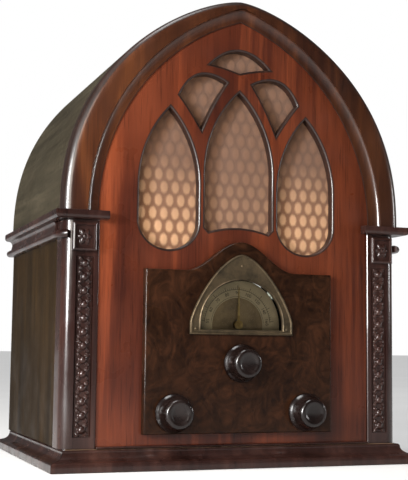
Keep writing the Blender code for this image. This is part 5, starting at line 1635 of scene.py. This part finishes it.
# ---- Tuning condenser, drive and controls ----------------------------------
CONDENSER_LOW, CONDENSER_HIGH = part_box("condenser_frame")
CONDENSER_SHEET = 0.0016
CONDENSER_DIVIDER = 0.0012
CONDENSER_LEAF = 0.0005
GANGS = 3
FIXED_PLATES = 9
GANGS_LOW_Y = CONDENSER_LOW.y + CONDENSER_SHEET
GANGS_HIGH_Y = CONDENSER_HIGH.y - CONDENSER_SHEET
GANG_LENGTH = (GANGS_HIGH_Y - GANGS_LOW_Y - 2 * CONDENSER_DIVIDER) / GANGS
GANG_STARTS = [GANGS_LOW_Y + i * (GANG_LENGTH + CONDENSER_DIVIDER) for i in range(GANGS)]
PLATE_PITCH = GANG_LENGTH / (FIXED_PLATES + 0.5)
STATOR_LOW = Vector((0.0075, 0.0, 0.1055))
STATOR_HIGH = Vector((CONDENSER_HIGH.x - 0.0008, 0.0, 0.1668))


def plate_places(count, first):
    """Front faces of the plates of every gang, whose first plate stands at a share of the pitch."""
    return [start + PLATE_PITCH * (i + first) for start in GANG_STARTS for i in range(count)]


def build_condenser_frame():
    """A three-gang frame with nine fixed plates in each gang, held by two bars."""
    low, high = CONDENSER_LOW, CONDENSER_HIGH
    walls = [(low.y, GANGS_LOW_Y), (GANGS_HIGH_Y, high.y)]
    walls += [(start - CONDENSER_DIVIDER, start) for start in GANG_STARTS[1:]]
    holes = [circle(*DIAL_AXIS, ROTOR_HOLE_RADIUS), circle(0.0, TUNING_Z, SHAFT_HOLE_RADIUS)]
    sheets = [block(low, (high.x, high.y, low.z + CONDENSER_SHEET), 0.0004)]
    sheets += [plate(rounded_corners(low, high, 0.006), holes, *wall) for wall in walls]
    stators = []
    for y in plate_places(FIXED_PLATES, 0.5):
        stators.append(plate(rounded_corners(STATOR_LOW, STATOR_HIGH, 0.005), [], y, y + CONDENSER_LEAF))
    bar_size = (0.003, high.y - low.y - 0.0016, 0.003)
    bar_middles = [(high.x - 0.0025, (low.y + high.y) / 2, z) for z in (0.1085, 0.1635)]
    bars = [block_about(middle, bar_size, 0.0004) for middle in bar_middles]
    redo("condenser_frame", "gang", *assembled(bright_steel=sheets, aluminium=stators + bars))


def build_condenser_rotor():
    """The shaft with eight turning plates and a collar in each gang."""
    low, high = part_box("condenser_rotor")
    half_disc = arc(DIAL_AXIS, 0.029, 0, 180, 48) + arc(DIAL_AXIS, 0.0056, 180, 360, 16)[1:-1]
    turning = FIXED_PLATES - 1
    leaves = [plate(half_disc, [], y, y + CONDENSER_LEAF) for y in plate_places(turning, 1.0)]
    turned = [rod(ROTOR_SHAFT_RADIUS, (0, low.y, DIAL_Z), high.y - low.y, EASE)]
    for start in GANG_STARTS:
        turned.append(washer(0.0041, 0.0054, PLATE_PITCH, PLATE_PITCH * turning, (0, start, DIAL_Z), 32))
    redo("condenser_rotor", "gang", *assembled(aluminium=leaves, brass=turned), "dial_rotor")


def build_drive_disc():
    low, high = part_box("drive_disc")
    bore = 0.0043
    holes = [circle(x, z, 0.006) for x, z in circle(*DIAL_AXIS, 0.019, 3, start_deg=30)]
    disc = plate(circle(*DIAL_AXIS, high.x, 96), holes + [circle(*DIAL_AXIS, bore)], low.y, high.y,
                 edge=((0.0004, 0.0), (0.0, 0.0004)))
    profile = [(bore, 0), (0.0075, 0), (0.0075, 0.003), (0.007, 0.0034), (bore, 0.0034)]
    hub = lathe(profile, (0, high.y, DIAL_Z), segments=40, loop=True)
    redo("drive_disc", "turned", join([disc, hub]), "brass", "dial_rotor")


def build_dial_bracket():
    """A bent bracket with two pillars that carry the dial card."""
    low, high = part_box("dial_bracket")
    sheet = 0.0012
    holes = [circle(0.0, TUNING_Z, SHAFT_HOLE_RADIUS), circle(*DIAL_AXIS, ROTOR_HOLE_RADIUS)]
    face = plate(rounded_corners(low, high, 0.006), holes, BRACKET_FACE_Y, BRACKET_FACE_Y + sheet)
    foot = block((low.x + 0.0001, BRACKET_FACE_Y + 0.0005, low.z), (high.x - 0.0001, high.y, low.z + sheet),
                 0.0003)
    shapes = [face, foot]
    length = BRACKET_FACE_Y - low.y
    pillar = [(0, 0), (0.0026, 0), (0.003, 0.0004), (0.003, length), (0, length)]
    for x in (-0.038, 0.038):
        shapes.append(lathe(pillar, (x, low.y, 0.132), segments=24))
        shapes.append(deck_screw(x, high.y - 0.005, DECK_Z + sheet))
    redo("dial_bracket", "bent", join(shapes), "chassis_steel")


def build_lamp():
    """The dial lamp: a strap, a threaded socket, a bulb and its filament."""
    low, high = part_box("lamp_holder")
    x = middle_of("lamp_holder").x
    z = middle_of("dial_lamp").z
    strap = plate(rounded_corners(low, high, 0.003), [circle(x, z, 0.0054)], low.y, high.y)
    screw = screw_head(x, high.y, low.z + 0.004, 0.0018)
    redo("lamp_holder", "strap", join([strap, screw]), "chassis_steel")

    low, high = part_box("dial_lamp")
    bulb_length = LAMP_SOCKET_Y - 0.0001 - low.y
    bulb = mm((0, 0), (1.6, 0.2), (3.2, 1.0), (4.4, 2.4), (4.8, 4.0), (4.6, 5.2), (3.8, 6.4))
    bulb += [(0.0036, bulb_length), (0, bulb_length)]
    redo("dial_lamp", "glass", lathe(bulb, (x, low.y, z), segments=32), "tube_glass")

    length = high.y - LAMP_SOCKET_Y
    socket = mm((0, 0), (3.8, 0), (4.5, 0.6))
    for thread in range(6):
        socket += mm((5.0, 1.4 + thread), (4.6, 1.9 + thread))
    socket += [(0.005, length - EASE), (0.003, length), (0, length)]
    filament = block_about((x, LAMP_FILAMENT_Y, z), (0.0032, 0.0004, 0.0004), 0.0001)
    turned = lathe(socket, (x, LAMP_SOCKET_Y, z), segments=32)
    add("dial_lamp_socket", *assembled(brass=[turned], glow_wire=[filament]))


def build_shafts():
    """The three control shafts. The tuning shaft carries the friction roller."""
    for name, (x, z) in CONTROLS.items():
        low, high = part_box(f"{name}_shaft")
        length = high.y - low.y
        radius = SHAFT_RADIUS
        profile = [(0, 0), (radius - 0.0004, 0), (radius, 0.0004)]
        if name == "tuning":
            roller = (high.z - low.z) / 2
            ease = 0.0002
            near, far = [y - low.y for y in ROLLER_Y]
            profile += [(radius, near), (roller - ease, near), (roller, near + ease), (roller, far - ease),
                        (roller - ease, far), (radius, far)]
        profile += [(radius, length - 0.0004), (radius - 0.0004, length), (0, length)]
        finish = "bright_steel" if name == "tuning" else "brass"
        redo(f"{name}_shaft", "turned", lathe(profile, (x, low.y, z), segments=40), finish, name)


def control_nut(x):
    return plate(hexagon(x, CONTROL_Z, 0.0068), [circle(x, CONTROL_Z, 0.0048)], *CONTROL_NUT_Y)


def control_neck(node):
    """The bushing of a control and the bore for its shaft, as heights from the control's face."""
    low_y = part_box(node)[0].y - CONTROL_FACE_Y
    bore = 0.0034
    return [(0.0047, 0), (0.0047, low_y), (bore, low_y), (bore, 0.0068), (0, 0.0068)]


def build_volume_control():
    """A drawn case with three lugs below it."""
    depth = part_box("volume_control")[1].y - CONTROL_FACE_Y
    profile = [(0, depth), (0.006, depth), (0.0148, depth - 0.0003), (0.0158, depth - 0.0012),
               (0.016, depth - 0.003)]
    profile += mm((16, 2.2), (15.6, 1.8), (15.6, 0)) + control_neck("volume_control")
    x = -CONTROL_X
    case = lathe(profile, (x, CONTROL_FACE_Y, CONTROL_Z), segments=56)
    fittings = [control_nut(x)]
    for offset in (-0.007, 0.0, 0.007):
        middle = (x + offset, CONTROL_FACE_Y + 0.0033, CONTROL_Z - 0.01825)
        fittings.append(block_about(middle, (0.0028, EASE, 0.0085), 0.0002))
    redo("volume_control", "case", *assembled(chassis_steel=[case], brass=fittings))


def build_tone_switch():
    """A small case behind its detent plate, and a wafer with eight contacts."""
    back_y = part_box("tone_switch")[1].y
    depth = back_y - CONTROL_FACE_Y
    near = depth - 0.0018
    profile = [(0, depth - 0.002), (0.01, depth - 0.002), (0.011, depth - 0.0026)]
    profile += mm((11, 2.2), (14.8, 2.2), (15, 1.6), (15, 0)) + control_neck("tone_switch")
    x = CONTROL_X
    place = (x, CONTROL_FACE_Y, CONTROL_Z)
    case = lathe(profile, place, segments=48)
    wafer = lathe([(0.0112, near), (0.0175, near), (0.0175, depth), (0.003, depth), (0.003, near)], place,
                  segments=48, loop=True)
    contact_places = circle(x, CONTROL_Z, 0.015, 8, start_deg=22.5)
    contacts = [screw_head(contact_x, back_y, z, 0.0011) for contact_x, z in contact_places]
    parts = assembled(chassis_steel=[case], bakelite=[wafer], brass=contacts + [control_nut(x)])
    redo("tone_switch", "wafer", *parts)


build_woods()
build_metals()
build_other_materials()
dress_frame()
build_camera()
build_floor()
build_backdrop()
build_lights()
build_base()
build_roof()
build_columns()
build_carvings()
build_imposts()
build_arch_moulding()
build_front()
build_cloth()
build_escutcheon()
build_dial_card()
build_dial_glass_and_pointer()
build_knobs()
build_glass_tubes()
build_shielded_tubes()
build_cans()
build_power_transformer()
build_output_transformer()
build_deck_fittings()
build_rear_fittings()
build_screws()
build_glue_blocks()
build_speaker_basket()
build_speaker_cone()
build_field_coil()
build_condenser_frame()
build_condenser_rotor()
build_drive_disc()
build_dial_bracket()
build_lamp()
build_shafts()
build_volume_control()
build_tone_switch()
